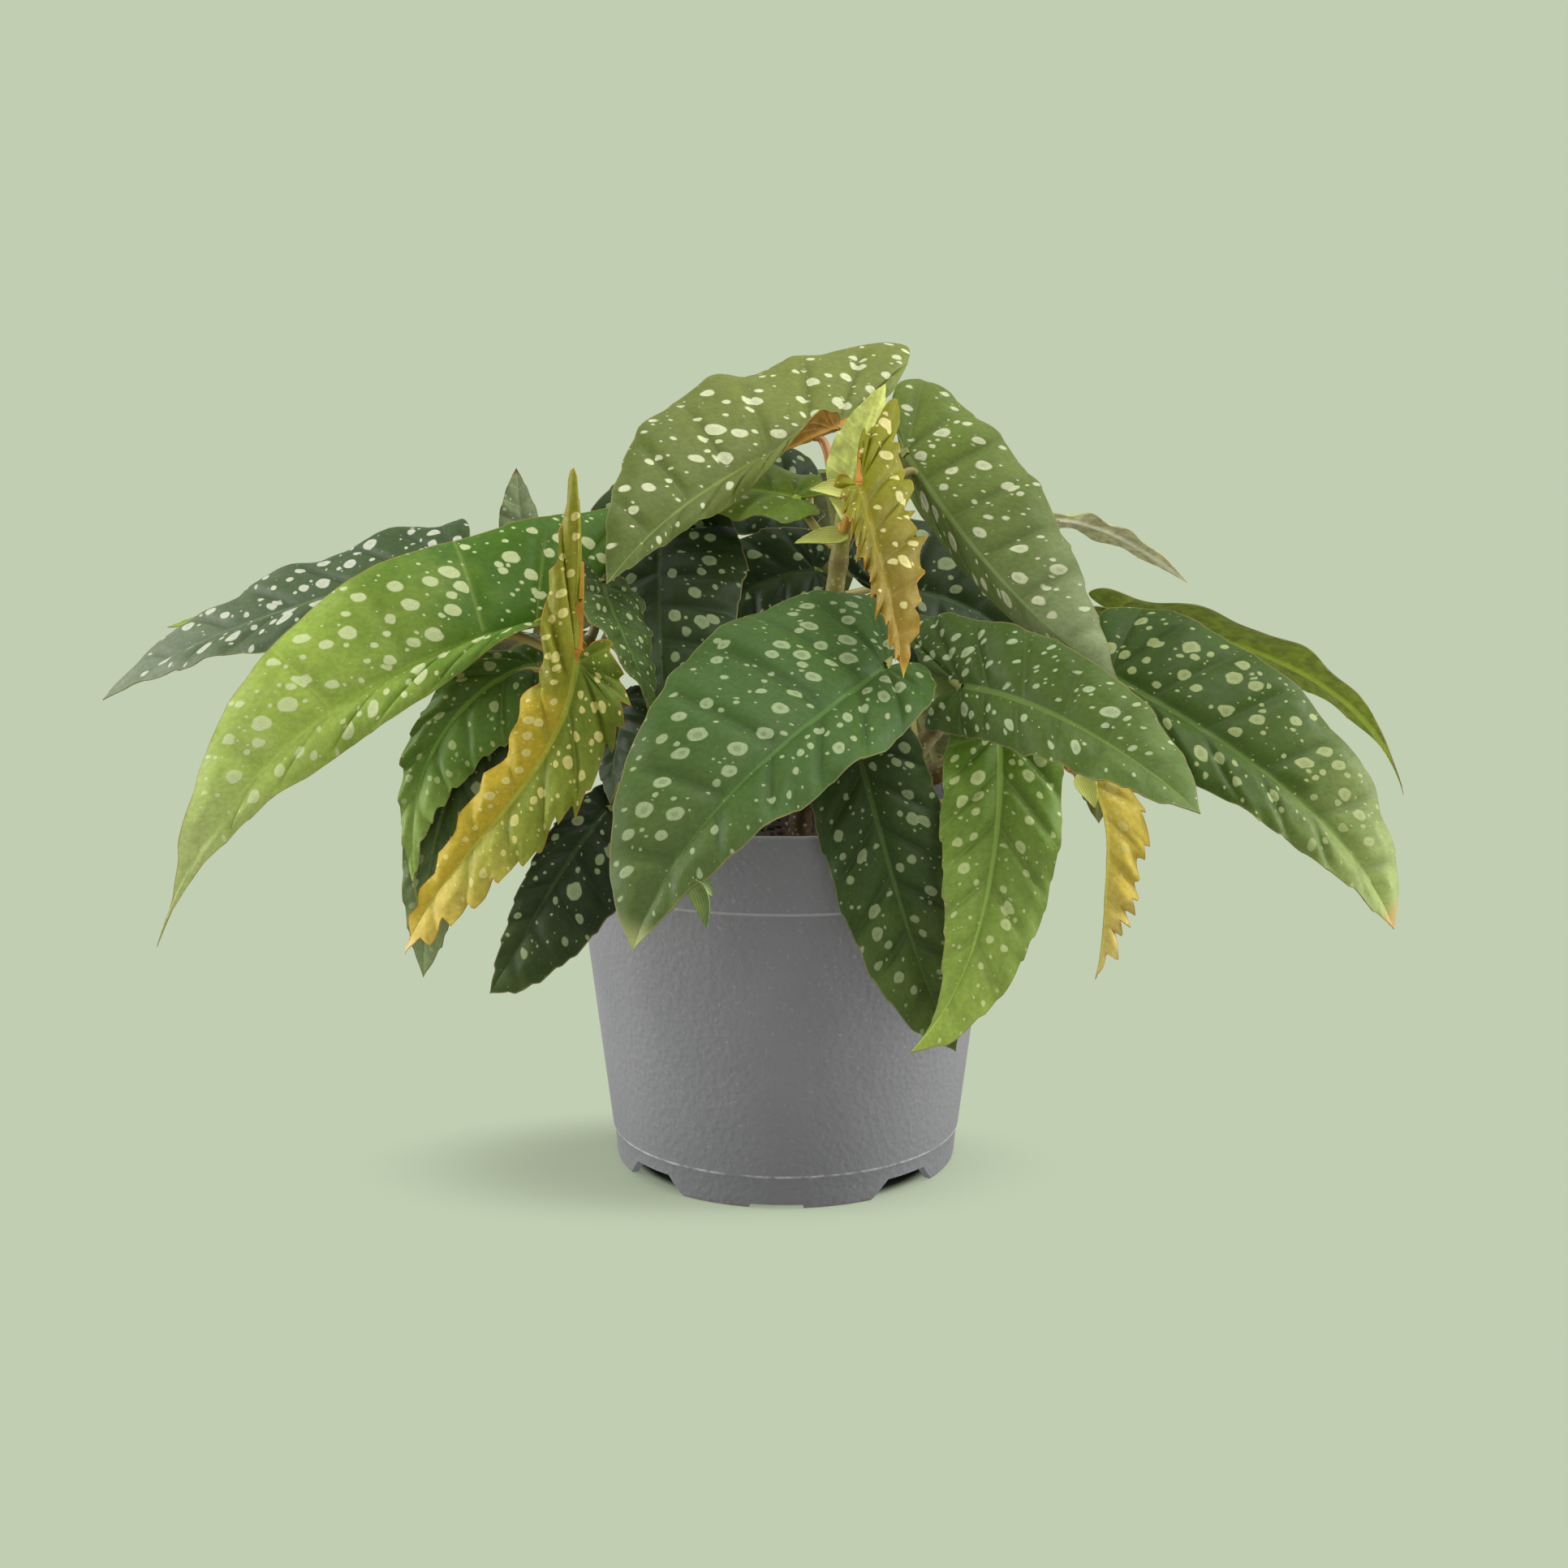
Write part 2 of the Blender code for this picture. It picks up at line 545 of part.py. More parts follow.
def stalk_line(leaf):
    """From the side of the cane, out and over to the underside of the blade, just past its base."""
    cane = next(cane for cane in CANES if cane.name == leaf.cane)
    points, radii = cane_line(cane)
    share = np.linspace(0, 1, CANE_STEPS + 1)
    core = np.array([np.interp(leaf.height, share, column) for column in points.T])
    thick = np.interp(leaf.height, share, radii)
    ahead = np.array([np.interp(min(leaf.height + 0.02, 1), share, column) for column in points.T])
    behind = np.array([np.interp(leaf.height - 0.02, share, column) for column in points.T])
    axis = (ahead - behind) / np.linalg.norm(ahead - behind)
    ribs, (forward, _, up) = midrib(leaf)
    sunk = max(int(RIB_STEPS * 0.09), 2)
    end = ribs[sunk] - up[sunk] * 0.55
    reach = end - core + np.array(leaf.bow, float)
    out = reach - axis * np.dot(reach, axis)
    out /= np.linalg.norm(out)
    start = core + out * (thick + GAP + 0.25)
    span = np.linalg.norm(end - start)
    t = np.linspace(0, 1, STALK_STEPS + 1)[:, None]
    first = start + out * span * 0.3 + np.array(leaf.bow, float) * 0.8
    second = end - forward[sunk] * span * 0.35 + np.array(leaf.bow, float) * 0.5
    curve = (1 - t) ** 3 * start + 3 * (1 - t) ** 2 * t * first + 3 * (1 - t) * t**2 * second + t**3 * end
    return np.vstack([start, start + out * 0.8, curve[1:]])


def blade_mesh(leaf, rows, strips):
    """The blade as one open surface of triangles, its two halves sharing the midrib."""
    made = bmesh.new()
    for side in (0, 1):
        grid = half_blade(leaf, side, rows, strips)
        verts = [[made.verts.new(point * MM) for point in row] for row in grid]
        for i in range(rows):
            for j in range(strips):
                corners = [verts[i][j], verts[i + 1][j], verts[i + 1][j + 1], verts[i][j + 1]]
                if side == 1:
                    corners.reverse()
                if (i + j + side) % 2:
                    corners = corners[1:] + corners[:1]
                for triangle in ((0, 1, 2), (0, 2, 3)):
                    made.faces.new([corners[k] for k in triangle])
    bmesh.ops.remove_doubles(made, verts=made.verts, dist=1e-6)
    bmesh.ops.dissolve_degenerate(made, dist=1e-6, edges=made.edges)
    bmesh.ops.triangulate(made, faces=made.faces)
    mesh = bpy.data.meshes.new(leaf.name)
    made.to_mesh(mesh)
    made.free()
    return mesh


def make_leaf(leaf, parts, cutters, material):
    rows = BLADE_ROWS if leaf.length > 62 else BLADE_ROWS - 2
    blade = add_mesh(leaf.name, blade_mesh(leaf, rows, BLADE_STRIPS), parts, material)
    blade.data.shade_smooth()
    add_modifier(blade, "SOLIDIFY", "Thickness", thickness=BLADE_THICKNESS * MM, offset=0)
    points = stalk_line(leaf)
    share = np.linspace(0, 1, len(points))
    radii = STALK_RADIUS * np.interp(share, [0, 0.12, 0.8, 1], [1.35, 1.0, 0.95, 0.62])
    stalk = curve_to_mesh(tube_curve(leaf.name + "_stalk", points, radii, cutters, 1))
    hide(stalk)
    add_modifier(blade, "BOOLEAN", "Stalk", operation="UNION", object=stalk, solver=leaf.solver)
    return blade


def main():
    clear_scene()
    parts = new_collection("potted_begonia")
    cutters = new_collection("cutters")
    plastic = new_material("grey_pot_plastic", (0.23, 0.23, 0.25), 0.55)
    earth = new_material("potting_soil", (0.035, 0.022, 0.015), 0.95)
    bark = new_material("green_cane", (0.19, 0.17, 0.05), 0.55)
    tones = {name: new_material("leaf_" + name, colour, 0.4) for name, colour in TONES.items()}
    make_pot(parts, cutters, plastic)
    make_soil(parts, cutters, earth)
    for cane in CANES:
        make_cane(cane, parts, bark)
    for leaf in LEAVES:
        make_leaf(leaf, parts, cutters, tones[leaf.tone])
    axis = bpy.data.objects.new("pot_axis", None)
    axis.location = (POT_AXIS[0] * MM, POT_AXIS[1] * MM, 0)
    parts.objects.link(axis)
    for obj in list(parts.objects) + list(cutters.objects):
        if obj is not axis:
            obj.parent = axis


main()
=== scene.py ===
"""A potted begonia with spotted angel-wing leaves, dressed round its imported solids.

Each leaf is worked out from the same line of LEAVES as its solid, with a fine mesh, a toothed
margin, relief between the veins and a material of its own. Places and sizes are in millimetres
from the pot's axis, and angles in degrees, until a mesh is made.
"""

import math
from dataclasses import dataclass, replace

import bmesh
import bpy
import numpy as np
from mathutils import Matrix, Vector, noise


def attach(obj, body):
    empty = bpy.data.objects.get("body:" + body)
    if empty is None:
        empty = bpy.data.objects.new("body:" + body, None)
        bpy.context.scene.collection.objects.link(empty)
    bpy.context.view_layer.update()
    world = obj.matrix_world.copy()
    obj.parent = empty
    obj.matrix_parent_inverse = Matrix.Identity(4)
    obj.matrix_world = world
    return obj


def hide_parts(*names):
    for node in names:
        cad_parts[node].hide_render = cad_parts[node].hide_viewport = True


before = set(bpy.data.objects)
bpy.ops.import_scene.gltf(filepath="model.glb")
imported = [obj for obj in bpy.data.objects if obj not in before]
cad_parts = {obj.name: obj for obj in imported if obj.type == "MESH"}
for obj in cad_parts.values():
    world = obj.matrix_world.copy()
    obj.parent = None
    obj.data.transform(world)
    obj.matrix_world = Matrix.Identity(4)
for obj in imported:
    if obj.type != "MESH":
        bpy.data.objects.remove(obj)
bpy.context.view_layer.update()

MM = 0.001
GAP = 0.3
POT_AXIS = (16.6, -1.9)

# Points nearer than this are joined, in metres. An edge sharper than its angle isn't smoothed over.
WELD = 2e-6
SHARP_ANGLE = 60
POT_SHARP_ANGLE = 32
SOIL_SHARP_ANGLE = 75

# The pot, as in its solid.
POT_HEIGHT = 103.0
RIM_RADIUS = 60.0
BAND_HEIGHT = 20.4
BAND_STEP = 0.8
FOOT_RADIUS = 49.4
FOOT_HEIGHT = 9.2
FOOT_STEP = 0.4
FOOT_RING_WIDTH = 2.4
WALL = 1.2
RECESS = 5.6
FLOOR_THICKNESS = 1.4
NOTCH_HEIGHT = 5.2
NOTCH_HALF_ANGLES = (8.0, 16.0)
SCALLOP_HEIGHT = 1.2
SCALLOP_HALF_ANGLES = (8.3, 9.3)
POT_TURN = -3.0
DRAIN_RADIUS = 4.5
DRAIN_CIRCLE = 36.0
POT_SIDES = 160
BAND_FOOT = POT_HEIGHT - BAND_HEIGHT
BODY_TOP = RIM_RADIUS - BAND_STEP
FOOT_TOP = FOOT_RADIUS + 0.7
FLOOR_TOP = RECESS + FLOOR_THICKNESS

# The soil and the crumbs that lie on it.
SOIL_TOP = 91.0
SOIL_SIDES = 120
SOIL_RINGS = 44
SOIL_ROUGHNESS = 0.55
CRUMBS = 620
PALE_CRUMBS = 0.06

# The leaves: a fine grid for each, and relief between the side veins. FAN is the share of the rows that
# spread out round the lobe from the end of the stalk.
BLADE_THICKNESS = 0.62
MARGIN_THICKNESS = 0.3
RIB_DEPTH = 0.95
RIB_GROOVE = 0.12
VEIN_DEPTH = 0.18
BLADE_ROWS = 112
BLADE_STRIPS = 16
FAN = 0.34
TURN_UP_SHARE = 0.6
RIB_STEPS = 60
VEINS = 9
WAVE_PERCENT = 1.5
LONG_LEAF = 62
COARSE_TEETH = (10, 12)

# The stalks end under the blade, a few steps down its midrib. Their taper is given as shares of the way and
# of the radius.
STALK_RADIUS = 1.25
STALK_STEPS = 26
STALK_SIDES = 14
STALK_END = 5
STALK_BELOW = 0.55
STALK_CLEARANCE = 0.25
STALK_TAPER = ((0, 0.03, 0.12, 0.8, 1), (1.5, 1.45, 1.0, 0.95, 0.62))

# The canes: their radius at the foot and the top, heights at which they are still over their feet, and about
# how many joints they have.
CANE_RADII = (3.4, 2.2)
CANE_UPRIGHT = (75, 90, 100)
CANE_STEPS = 15
CANE_SIDES = 20
JOINTS = 7.3


@dataclass
class Cane:
    """A stem: where it stands in the soil, and the points above that."""

    name: str
    foot: tuple
    path: tuple


@dataclass
class Leaf:
    """One leaf. bearing, pitch and roll run along the midrib, and other pairs are (left, right) looking to
    the tip. height is the share of its cane at which the stalk leaves, and bow bends the stalk aside."""

    name: str
    base: tuple
    bearing: tuple
    pitch: tuple
    length: float
    roll: tuple
    width: tuple
    lobe: tuple
    cane: str
    height: float
    fold: tuple = (10, 10)
    curl: tuple = (-15, -15)
    turn_up: tuple = (0, 0)
    full: tuple = (0.5, 0.5)
    tooth: float = 0.02
    bow: tuple = (0, 0, 0)
    ear: tuple = (0.42, 0.42)
    tone: str = "green"


CANES = (
    Cane("cane_centre", (4, -22), ((7, -26, 125), (13, -33, 165), (16, -36, 192))),
    Cane("cane_left", (-24, -18), ((-34, -28, 120), (-47, -42, 142), (-54, -50, 152))),
    Cane("cane_right", (26, -16), ((38, -24, 112), (58, -36, 128), (70, -38, 138))),
    Cane("cane_back", (4, 24), ((6, 34, 125), (6, 44, 160), (4, 50, 180))),
    Cane("cane_left_back", (-24, 12), ((-40, 18, 118), (-62, 24, 144), (-74, 26, 158))),
    Cane("cane_right_back", (28, 14), ((42, 20, 118), (60, 26, 142), (70, 28, 154))),
)

LEAVES = (
    Leaf("leaf_top_left", (13, -20, 206), (-149, -132), (-19, -27, -44), 84, (-40, -50), (7.5, 30), (2, 38),
         "cane_centre", 0.97, fold=(0, 10), curl=(-30, -20), turn_up=(115, 0), full=(0.6, 0.3),
         ear=(0.3, 0.6), tone="bright"),
    Leaf("leaf_top_right", (32, -22, 199), (-60, -33), (-41, -40, -30), 90, (40, 60), (24, 12), (24, 5),
         "cane_centre", 0.94, fold=(5, -60), curl=(-20, -20)),
    Leaf("leaf_young_centre", (18, -60, 190), (-76, -66), (-45, -55, -75), 54, (0, 0), (11, 5.5), (28, 3),
         "cane_centre", 0.9, ear=(1.3, 0.9), tooth=0.08, tone="young"),
    Leaf("leaf_front_centre", (24, -68, 146), (-122, -160), (-17, -33, -71), 101, (-25, -35), (17, 36),
         (8, 26), "cane_centre", 0.5, fold=(10, 15), curl=(-20, -25), full=(0.6, 0.6)),
    Leaf("leaf_front_right", (44, -62, 141), (-57, -30), (0, -20, -38), 73, (62, 25), (17, 12), (32, 12),
         "cane_right", 0.75, fold=(10, 0), curl=(-10, -20), full=(0.9, 0.9), ear=(1.0, 0.9)),
    Leaf("leaf_hang_dark", (17, -59, 128), (-50, -20), (-66, -70, -62), 82, (42, 72), (16, 15), (8, 8),
         "cane_centre", 0.36, full=(0.8, 1.3), tone="dark"),
    Leaf("leaf_hang_bright", (53, -60, 129), (-88, -152), (-53, -62, -34), 86, (0, -50), (15.5, 14), (6, 5),
         "cane_right", 0.5, full=(0.9, -0.3), ear=(0.42, 0.6), bow=(4, 0, -9), tone="bright"),
    Leaf("leaf_young_right", (74, -45, 118), (-16, -200), (-29, -83, -76), 58, (74, -110), (11, 8), (6, 4),
         "cane_right", 0.86, fold=(0, -100), full=(0.3, -0.2), tooth=0.06, tone="young"),
    Leaf("leaf_right", (86, -29, 141), (-38, 18), (-24, -38, -63), 104, (40, 65), (28, 15), (14, 5),
         "cane_right", 0.96, full=(0.8, 0.8), ear=(0.6, 0.6)),
    Leaf("leaf_far_right", (93, 0, 157), (-14, -5), (-15, -26, -76), 100, (-25, -35), (15, 13), (8, 8),
         "cane_right_back", 0.92, full=(-0.4, -0.4), tone="dark"),
    Leaf("leaf_back_right", (79, 40, 183), (45, 25), (2, -19, -32), 69, (-10, -10), (10, 6), (6, 6),
         "cane_right_back", 0.97),
    Leaf("leaf_left_bright", (-65, -40, 155), (-154, -171), (-10, -38, -72), 130, (-60, -65), (12, 29),
         (4, 34), "cane_left", 0.93, fold=(0, 10), curl=(-40, -25), turn_up=(80, 0), full=(-0.2, -0.45),
         ear=(0.4, 1.0), tone="bright"),
    Leaf("leaf_young_left", (-50, -76, 148), (-170, -190), (-84, -50, -68), 85, (-80, -75), (13.5, 9.5),
         (6, 42), "cane_left", 0.98, full=(0.9, 0.4), tooth=0.07, tone="young"),
    Leaf("leaf_back_left", (-95, 10, 171), (168, 174), (-17, -18, -35), 120, (-35, -35), (20, 24), (10, 4),
         "cane_left_back", 0.96, tone="dark"),
    Leaf("leaf_tip_left", (-142, 45, 156), (145, 166), (13, -11, -10), 66, (-30, -30), (8, 8), (6, 6),
         "cane_left_back", 0.88, tone="bright"),
    Leaf("leaf_upright", (-76, 30, 168), (-140, -96), (80, 76, 87), 30, (-142, -142), (8, 6), (4, 4),
         "cane_left_back", 0.985, tone="dark"),
    Leaf("leaf_under_left", (-66, -34, 144), (-131, -210), (-5, -65, -100), 80, (-40, -95), (15, 9), (8, 8),
         "cane_left", 0.83, full=(-0.5, -0.3), tone="bright"),
    Leaf("leaf_hang_left", (-73, -40, 135), (-136, -239), (-42, -74, -84), 79, (-46, -140), (13, 10), (8, 8),
         "cane_left", 0.7, full=(0.8, 0.6), tone="dark"),
    Leaf("leaf_low_left", (-44, -68, 111), (-119, -195), (-27, -57, -55), 55, (-30, -90), (17, 8), (8, 8),
         "cane_left", 0.5, full=(0.9, 0.5), tone="dark"),
    Leaf("leaf_inner_dark", (-34, -16, 178), (-89, -80), (-39, -47, -82), 62, (0, 0), (23, 12), (16, 10),
         "cane_left", 0.9, full=(0.7, 0.7), tone="dark"),
    Leaf("leaf_edge", (-47, -46, 166), (-73, -26), (-36, -52, -77), 46, (-25, -25), (12, 13), (6, 6),
         "cane_left", 0.96, tone="dark"),
    Leaf("leaf_lower_inner", (-41, -60, 137), (-86, -127), (-48, -66, -89), 27, (20, 20), (8, 8), (4, 4),
         "cane_left", 0.78, tone="dark"),
    Leaf("leaf_bud", (17, -42, 191), (50, 50), (66, 62, 60), 29, (-130, -130), (5, 8), (2, 3), "cane_centre",
         0.96, fold=(30, 20), curl=(-10, -10), tone="lime"),
    Leaf("leaf_inner_olive", (2, -18, 188), (160, 178), (12, -4, -16), 54, (-30, -30), (15, 13), (10, 8),
         "cane_centre", 0.86, tone="bright"),
    Leaf("leaf_inner_back", (0, 26, 190), (185, 200), (10, -15, -40), 66, (-50, -50), (17, 19), (12, 10),
         "cane_back", 0.9, tone="dark"),
    Leaf("leaf_inner_mid", (8, 2, 168), (178, 195), (-5, -35, -50), 60, (-65, -65), (18, 15), (8, 6),
         "cane_back", 0.8, tone="dark"),
    Leaf("leaf_inner_right", (28, 4, 162), (5, -10), (5, -30, -50), 58, (60, 60), (24, 24), (10, 10),
         "cane_back", 0.66, tone="dark"),
    Leaf("leaf_back_top", (6, 58, 196), (70, 95), (5, -35, -70), 88, (0, 0), (22, 18), (14, 12), "cane_back",
         0.97, tone="bright"),
    Leaf("leaf_back_lean_left", (-30, 62, 168), (130, 165), (0, -30, -65), 96, (5, 5), (20, 22), (12, 14),
         "cane_back", 0.74),
    Leaf("leaf_back_lean_right", (44, 60, 166), (50, 20), (0, -32, -68), 98, (0, 0), (22, 18), (12, 12),
         "cane_back", 0.8),
    Leaf("leaf_back_low", (8, 66, 136), (95, 70), (-10, -45, -80), 80, (0, 0), (18, 20), (10, 12),
         "cane_back", 0.5, tone="dark"),
    Leaf("leaf_back_side_left", (-76, 52, 146), (120, 150), (0, -40, -75), 84, (0, 0), (18, 16), (10, 12),
         "cane_left_back", 0.72, tone="dark"),
    Leaf("leaf_back_side_right", (80, 52, 142), (60, 30), (-5, -42, -78), 80, (0, 0), (16, 18), (10, 10),
         "cane_right_back", 0.74, tone="bright"),
    Leaf("leaf_back_hang_left", (-34, 66, 128), (110, 150), (-10, -60, -82), 78, (0, 10), (18, 15), (10, 8),
         "cane_left_back", 0.5),
    Leaf("leaf_back_hang_right", (42, 66, 122), (80, 40), (-10, -58, -80), 74, (0, -10), (15, 18), (8, 10),
         "cane_right_back", 0.5),
    Leaf("leaf_side_right", (82, 30, 130), (48, 80), (-8, -50, -72), 66, (10, 10), (17, 14), (10, 8),
         "cane_right_back", 0.64),
    Leaf("leaf_side_left", (-84, 22, 136), (138, 112), (-10, -48, -72), 70, (-10, -20), (15, 18), (8, 10),
         "cane_left_back", 0.6),
)


@dataclass
class Look:
    """How one leaf looks. Colours are 8-bit sRGB: down its length, the underside, the spots, the edge, and
    where they differ the half right of the midrib and the very tip. Of the spots there are size, amount, how
    far they slant back, and how dark their middles are (hollow). veins, rib, veins_below and valley say how
    strong the veins, the midrib, the veins below and the painted shade beside the veins are. teeth are their
    number and depth; crinkle is of the margin and relief is between the veins, in millimetres."""

    base: tuple
    middle: tuple
    tip: tuple
    under: tuple = (118, 122, 66)
    spot: tuple = (172, 184, 138)
    edge: tuple = (128, 120, 70)
    size: float = 1.0
    amount: float = 1.0
    slant: float = 0.3
    veins: float = 0.12
    rib: float = 0.45
    teeth: tuple = (14, 0.8)
    crinkle: float = 0.35
    relief: float = 1.1
    hollow: float = 0.14
    vein_shade: float = 0.22
    veins_below: float = 0.5
    right: tuple = ()
    end: tuple = ()
    spotted_below: bool = False


TONES = {
    "green": Look((60, 86, 28), (64, 89, 32), (78, 98, 42), hollow=0.25),
    "bright": Look((76, 106, 28), (98, 124, 36), (126, 144, 62)),
    "dark": Look((32, 48, 17), (37, 54, 20), (48, 66, 27), spot=(130, 144, 102), vein_shade=0.35),
    "young": Look((130, 128, 20), (166, 138, 26), (192, 168, 70), under=(170, 118, 36), spot=(206, 194, 112),
        edge=(178, 118, 38), size=0.62, teeth=(16, 4.2), crinkle=1.3, rib=0.25, relief=1.3),
    "lime": Look((168, 180, 80), (172, 184, 86), (176, 186, 92), under=(190, 200, 100), amount=0.0,
        teeth=(8, 0.1), crinkle=0.05, veins=0.0, rib=0.1, relief=0.15, veins_below=0.0, vein_shade=0.0),
}

# Leaves that differ from their tone.
OWN_LOOKS = {
    "leaf_top_left": dict(base=(106, 116, 48), middle=(94, 106, 45), tip=(80, 95, 38), under=(150, 112, 38),
        spot=(202, 206, 166), slant=0.4, size=1.1, veins_below=0.03, vein_shade=0.15),
    "leaf_top_right": dict(base=(94, 112, 42), middle=(94, 110, 56), tip=(136, 148, 104),
        spot=(194, 198, 160), slant=0.55, size=1.08),
    "leaf_front_centre": dict(base=(60, 88, 32), middle=(61, 87, 34), tip=(82, 98, 48), spot=(148, 162, 118),
        size=0.98, end=(150, 156, 96), hollow=0.35, vein_shade=0.3),
    "leaf_front_right": dict(base=(64, 86, 30), middle=(76, 97, 38), tip=(92, 114, 52), slant=0.5,
        spot=(168, 182, 140), size=0.85),
    "leaf_left_bright": dict(base=(66, 102, 20), middle=(150, 172, 73), tip=(174, 186, 118),
        spot=(196, 206, 152), under=(170, 152, 52), edge=(150, 120, 60), rib=0.1, vein_shade=0.15),
    "leaf_hang_bright": dict(base=(84, 114, 32), middle=(116, 140, 60), tip=(130, 150, 60),
        spot=(178, 190, 126), size=0.85, hollow=0.3),
    "leaf_hang_dark": dict(base=(46, 65, 24), middle=(54, 74, 30), tip=(84, 104, 40), spot=(140, 152, 108),
        size=0.85),
    "leaf_back_left": dict(base=(54, 74, 36), middle=(72, 88, 56), tip=(112, 124, 96), spot=(190, 194, 172),
        size=1.2, amount=0.95),
    "leaf_right": dict(base=(50, 73, 15), middle=(62, 84, 20), tip=(144, 160, 86), spot=(154, 164, 108),
        end=(182, 150, 84), hollow=0.2),
    "leaf_far_right": dict(base=(80, 100, 28), middle=(78, 96, 26), tip=(150, 146, 118), under=(146, 166, 54),
        teeth=(8, 0.3), veins_below=0.1, end=(150, 120, 80), relief=0.5),
    "leaf_young_left": dict(base=(92, 110, 28), middle=(134, 144, 50), tip=(214, 188, 84),
        right=(184, 160, 42), spot=(206, 198, 120), end=(224, 200, 140)),
    "leaf_young_right": dict(base=(194, 176, 74), middle=(202, 180, 72), tip=(212, 192, 110)),
    "leaf_young_centre": dict(base=(116, 116, 6), middle=(122, 108, 34), tip=(146, 118, 40), size=0.95,
        spot=(206, 198, 132), end=(196, 160, 54)),
    # The pale underside of leaf_back_right is painted light: it stands in for light shining through the leaf.
    "leaf_back_right": dict(base=(150, 166, 84), middle=(190, 190, 140), tip=(214, 200, 160),
        under=(234, 228, 176), teeth=(8, 0.3), crinkle=0.1, amount=0.0, veins_below=0.1, relief=0.3),
    "leaf_upright": dict(base=(136, 154, 108), middle=(134, 152, 110), tip=(118, 128, 90),
        spot=(212, 216, 192), under=(134, 152, 110), spotted_below=True, teeth=(8, 0.3), size=0.6, rib=0.1,
        end=(92, 54, 34)),
    "leaf_under_left": dict(base=(60, 90, 28), middle=(88, 118, 40), tip=(150, 174, 84), spot=(160, 174, 110),
        size=0.75, teeth=(14, 1.6), crinkle=0.9),
    "leaf_hang_left": dict(base=(50, 68, 26), middle=(68, 88, 36), tip=(138, 154, 102), spot=(150, 164, 116),
        size=0.8),
    "leaf_low_left": dict(base=(27, 40, 14), middle=(34, 48, 18), tip=(60, 78, 32), spot=(136, 150, 106),
        size=0.9),
    "leaf_inner_olive": dict(base=(100, 126, 40), middle=(92, 118, 38), tip=(70, 92, 30),
        under=(130, 150, 56), amount=0.5),
    "leaf_edge": dict(base=(60, 82, 30), middle=(64, 86, 34), tip=(70, 90, 38), spot=(160, 174, 122),
        size=0.5),
}

# Stalk colours at the cane and at the blade.
STALK_TINTS = {
    "green": ((132, 124, 60), (150, 142, 78)),
    "bright": ((150, 140, 66), (168, 158, 84)),
    "dark": ((104, 96, 50), (120, 118, 60)),
    "young": ((196, 150, 60), (204, 150, 62)),
    "lime": ((172, 180, 80), (176, 186, 84)),
    "leaf_top_left": ((176, 92, 44), (170, 120, 62)),
}

# For each size of spot: the size of a cell with one spot, least and greatest radius, how rare the great ones
# are, where the pattern starts, and how soft the rim is, in millimetres. The wobble bends the spots.
SPOT_SIZES = (
    (7.4, 0.2, 2.15, 0.55, 13.0, 0.2),
    (4.4, -1.3, 0.95, 0.9, 57.0, 0.16),
    (2.8, -1.4, 0.5, 1.0, 91.0, 0.13),
)
SPOT_WOBBLE = 1.1

# Sheaths at the joints and along the stalks: base, bearing, pitch, roll, length, width, and fresh or old.
SHEATHS = (
    ((17, -43.2, 189), 178, 14, -70, 11, 5.5, 0),
    ((16.9, -43, 181), 185, 60, -80, 9, 4.5, 0),
    ((16, -37.3, 177.9), 182, 4, -75, 14, 5, 0),
    ((-50.7, -49.6, 150), 190, 20, -60, 11, 4, 0),
    ((68.3, -38.6, 139.4), 118, 82, -80, 20, 8, 0),
    ((69.4, -39.7, 138.6), 32, 72, -80, 17, 7, 0),
    ((76, -45.4, 119.6), -20, 24, 70, 10, 5, 0),
    ((76, -46.2, 117.3), -40, -50, 70, 10, 6, 0),
    ((-20.4, -119.4, 104), -8, -62, 84, 11, 4.4, 1),
    ((-19.2, -118.6, 103.8), 20, -38, 60, 5, 4, 1),
    ((50, -38, 127), 180, 59, -84, 25, 11, 1),
    ((4.1, 51.8, 178.5), 60, 50, 0, 14, 6, 0),
    ((-71.9, 28.8, 158.3), 100, 45, 0, 12, 5, 0),
    ((69.8, 30.2, 153.9), 60, 50, 0, 12, 5, 0),
)
SHEATH_ROWS = 22
SHEATH_COLUMNS = 11
SHEATH_BEND = 25.0
SHEATH_CUP = math.radians(35.0)
SHEATH_HALF_THICKNESS = 0.13

# The floor glows with its own colour. In an oval beside the pot a share of it is matt and takes the shadow.
# Under the pot it is all matt, and its matt colour is darkened there as painted shade. Lengths in metres.
BACKGROUND = (193, 206, 178)
FLOOR_GLOW = 1.0
FLOOR_MATT_AND_UNDER_POT_SHADE = (0.75, 0.06)
FLOOR_SHARE = 0.7
SHADOW_MIDDLE = (-0.005, -0.018, 0.0)
SHADOW_NARROW = 2.1
SHADOW_REACH = (0.042, 0.107)
SHADOW_UNDER = (0.0508, 0.043)
FLOOR_FLAT, FLOOR_BEND, WALL_TOP, FLOOR_SIDES = 1.6, 0.9, 4.2, 96

# The lights' name, place and size in metres, and power in watts, and what they are aimed at.
WORLD_LIGHT = 0.5
LIGHTS = (
    ("key", (0.6, -0.5, 1.4), (0.7, 0.7), 11),
    ("front", (0.0, -1.6, 0.5), (1.4, 1.0), 4),
    ("left_strip", (-1.15, 0.0, 0.4), (0.3, 1.2), 14),
    ("right_strip", (1.15, 0.0, 0.45), (0.3, 1.2), 15),
    ("top", (0.1, 0.2, 1.5), (1.2, 1.0), 5),
)
LIGHT_AIM = Vector((0.014, 0, 0.12))

# The camera: a little under half a metre in front of the plant, and tipped down by an angle in radians.
CAMERA_PLACE = (0.0161, -0.4819, 0.1790)
CAMERA_TIP = 0.148
CAMERA_LENS = 38.9


def read_off(place, places, table):
    """The rows of a table, which stand at the given places, read off between them at one place or more."""
    return np.stack([np.interp(place, places, column) for column in table.T], -1)


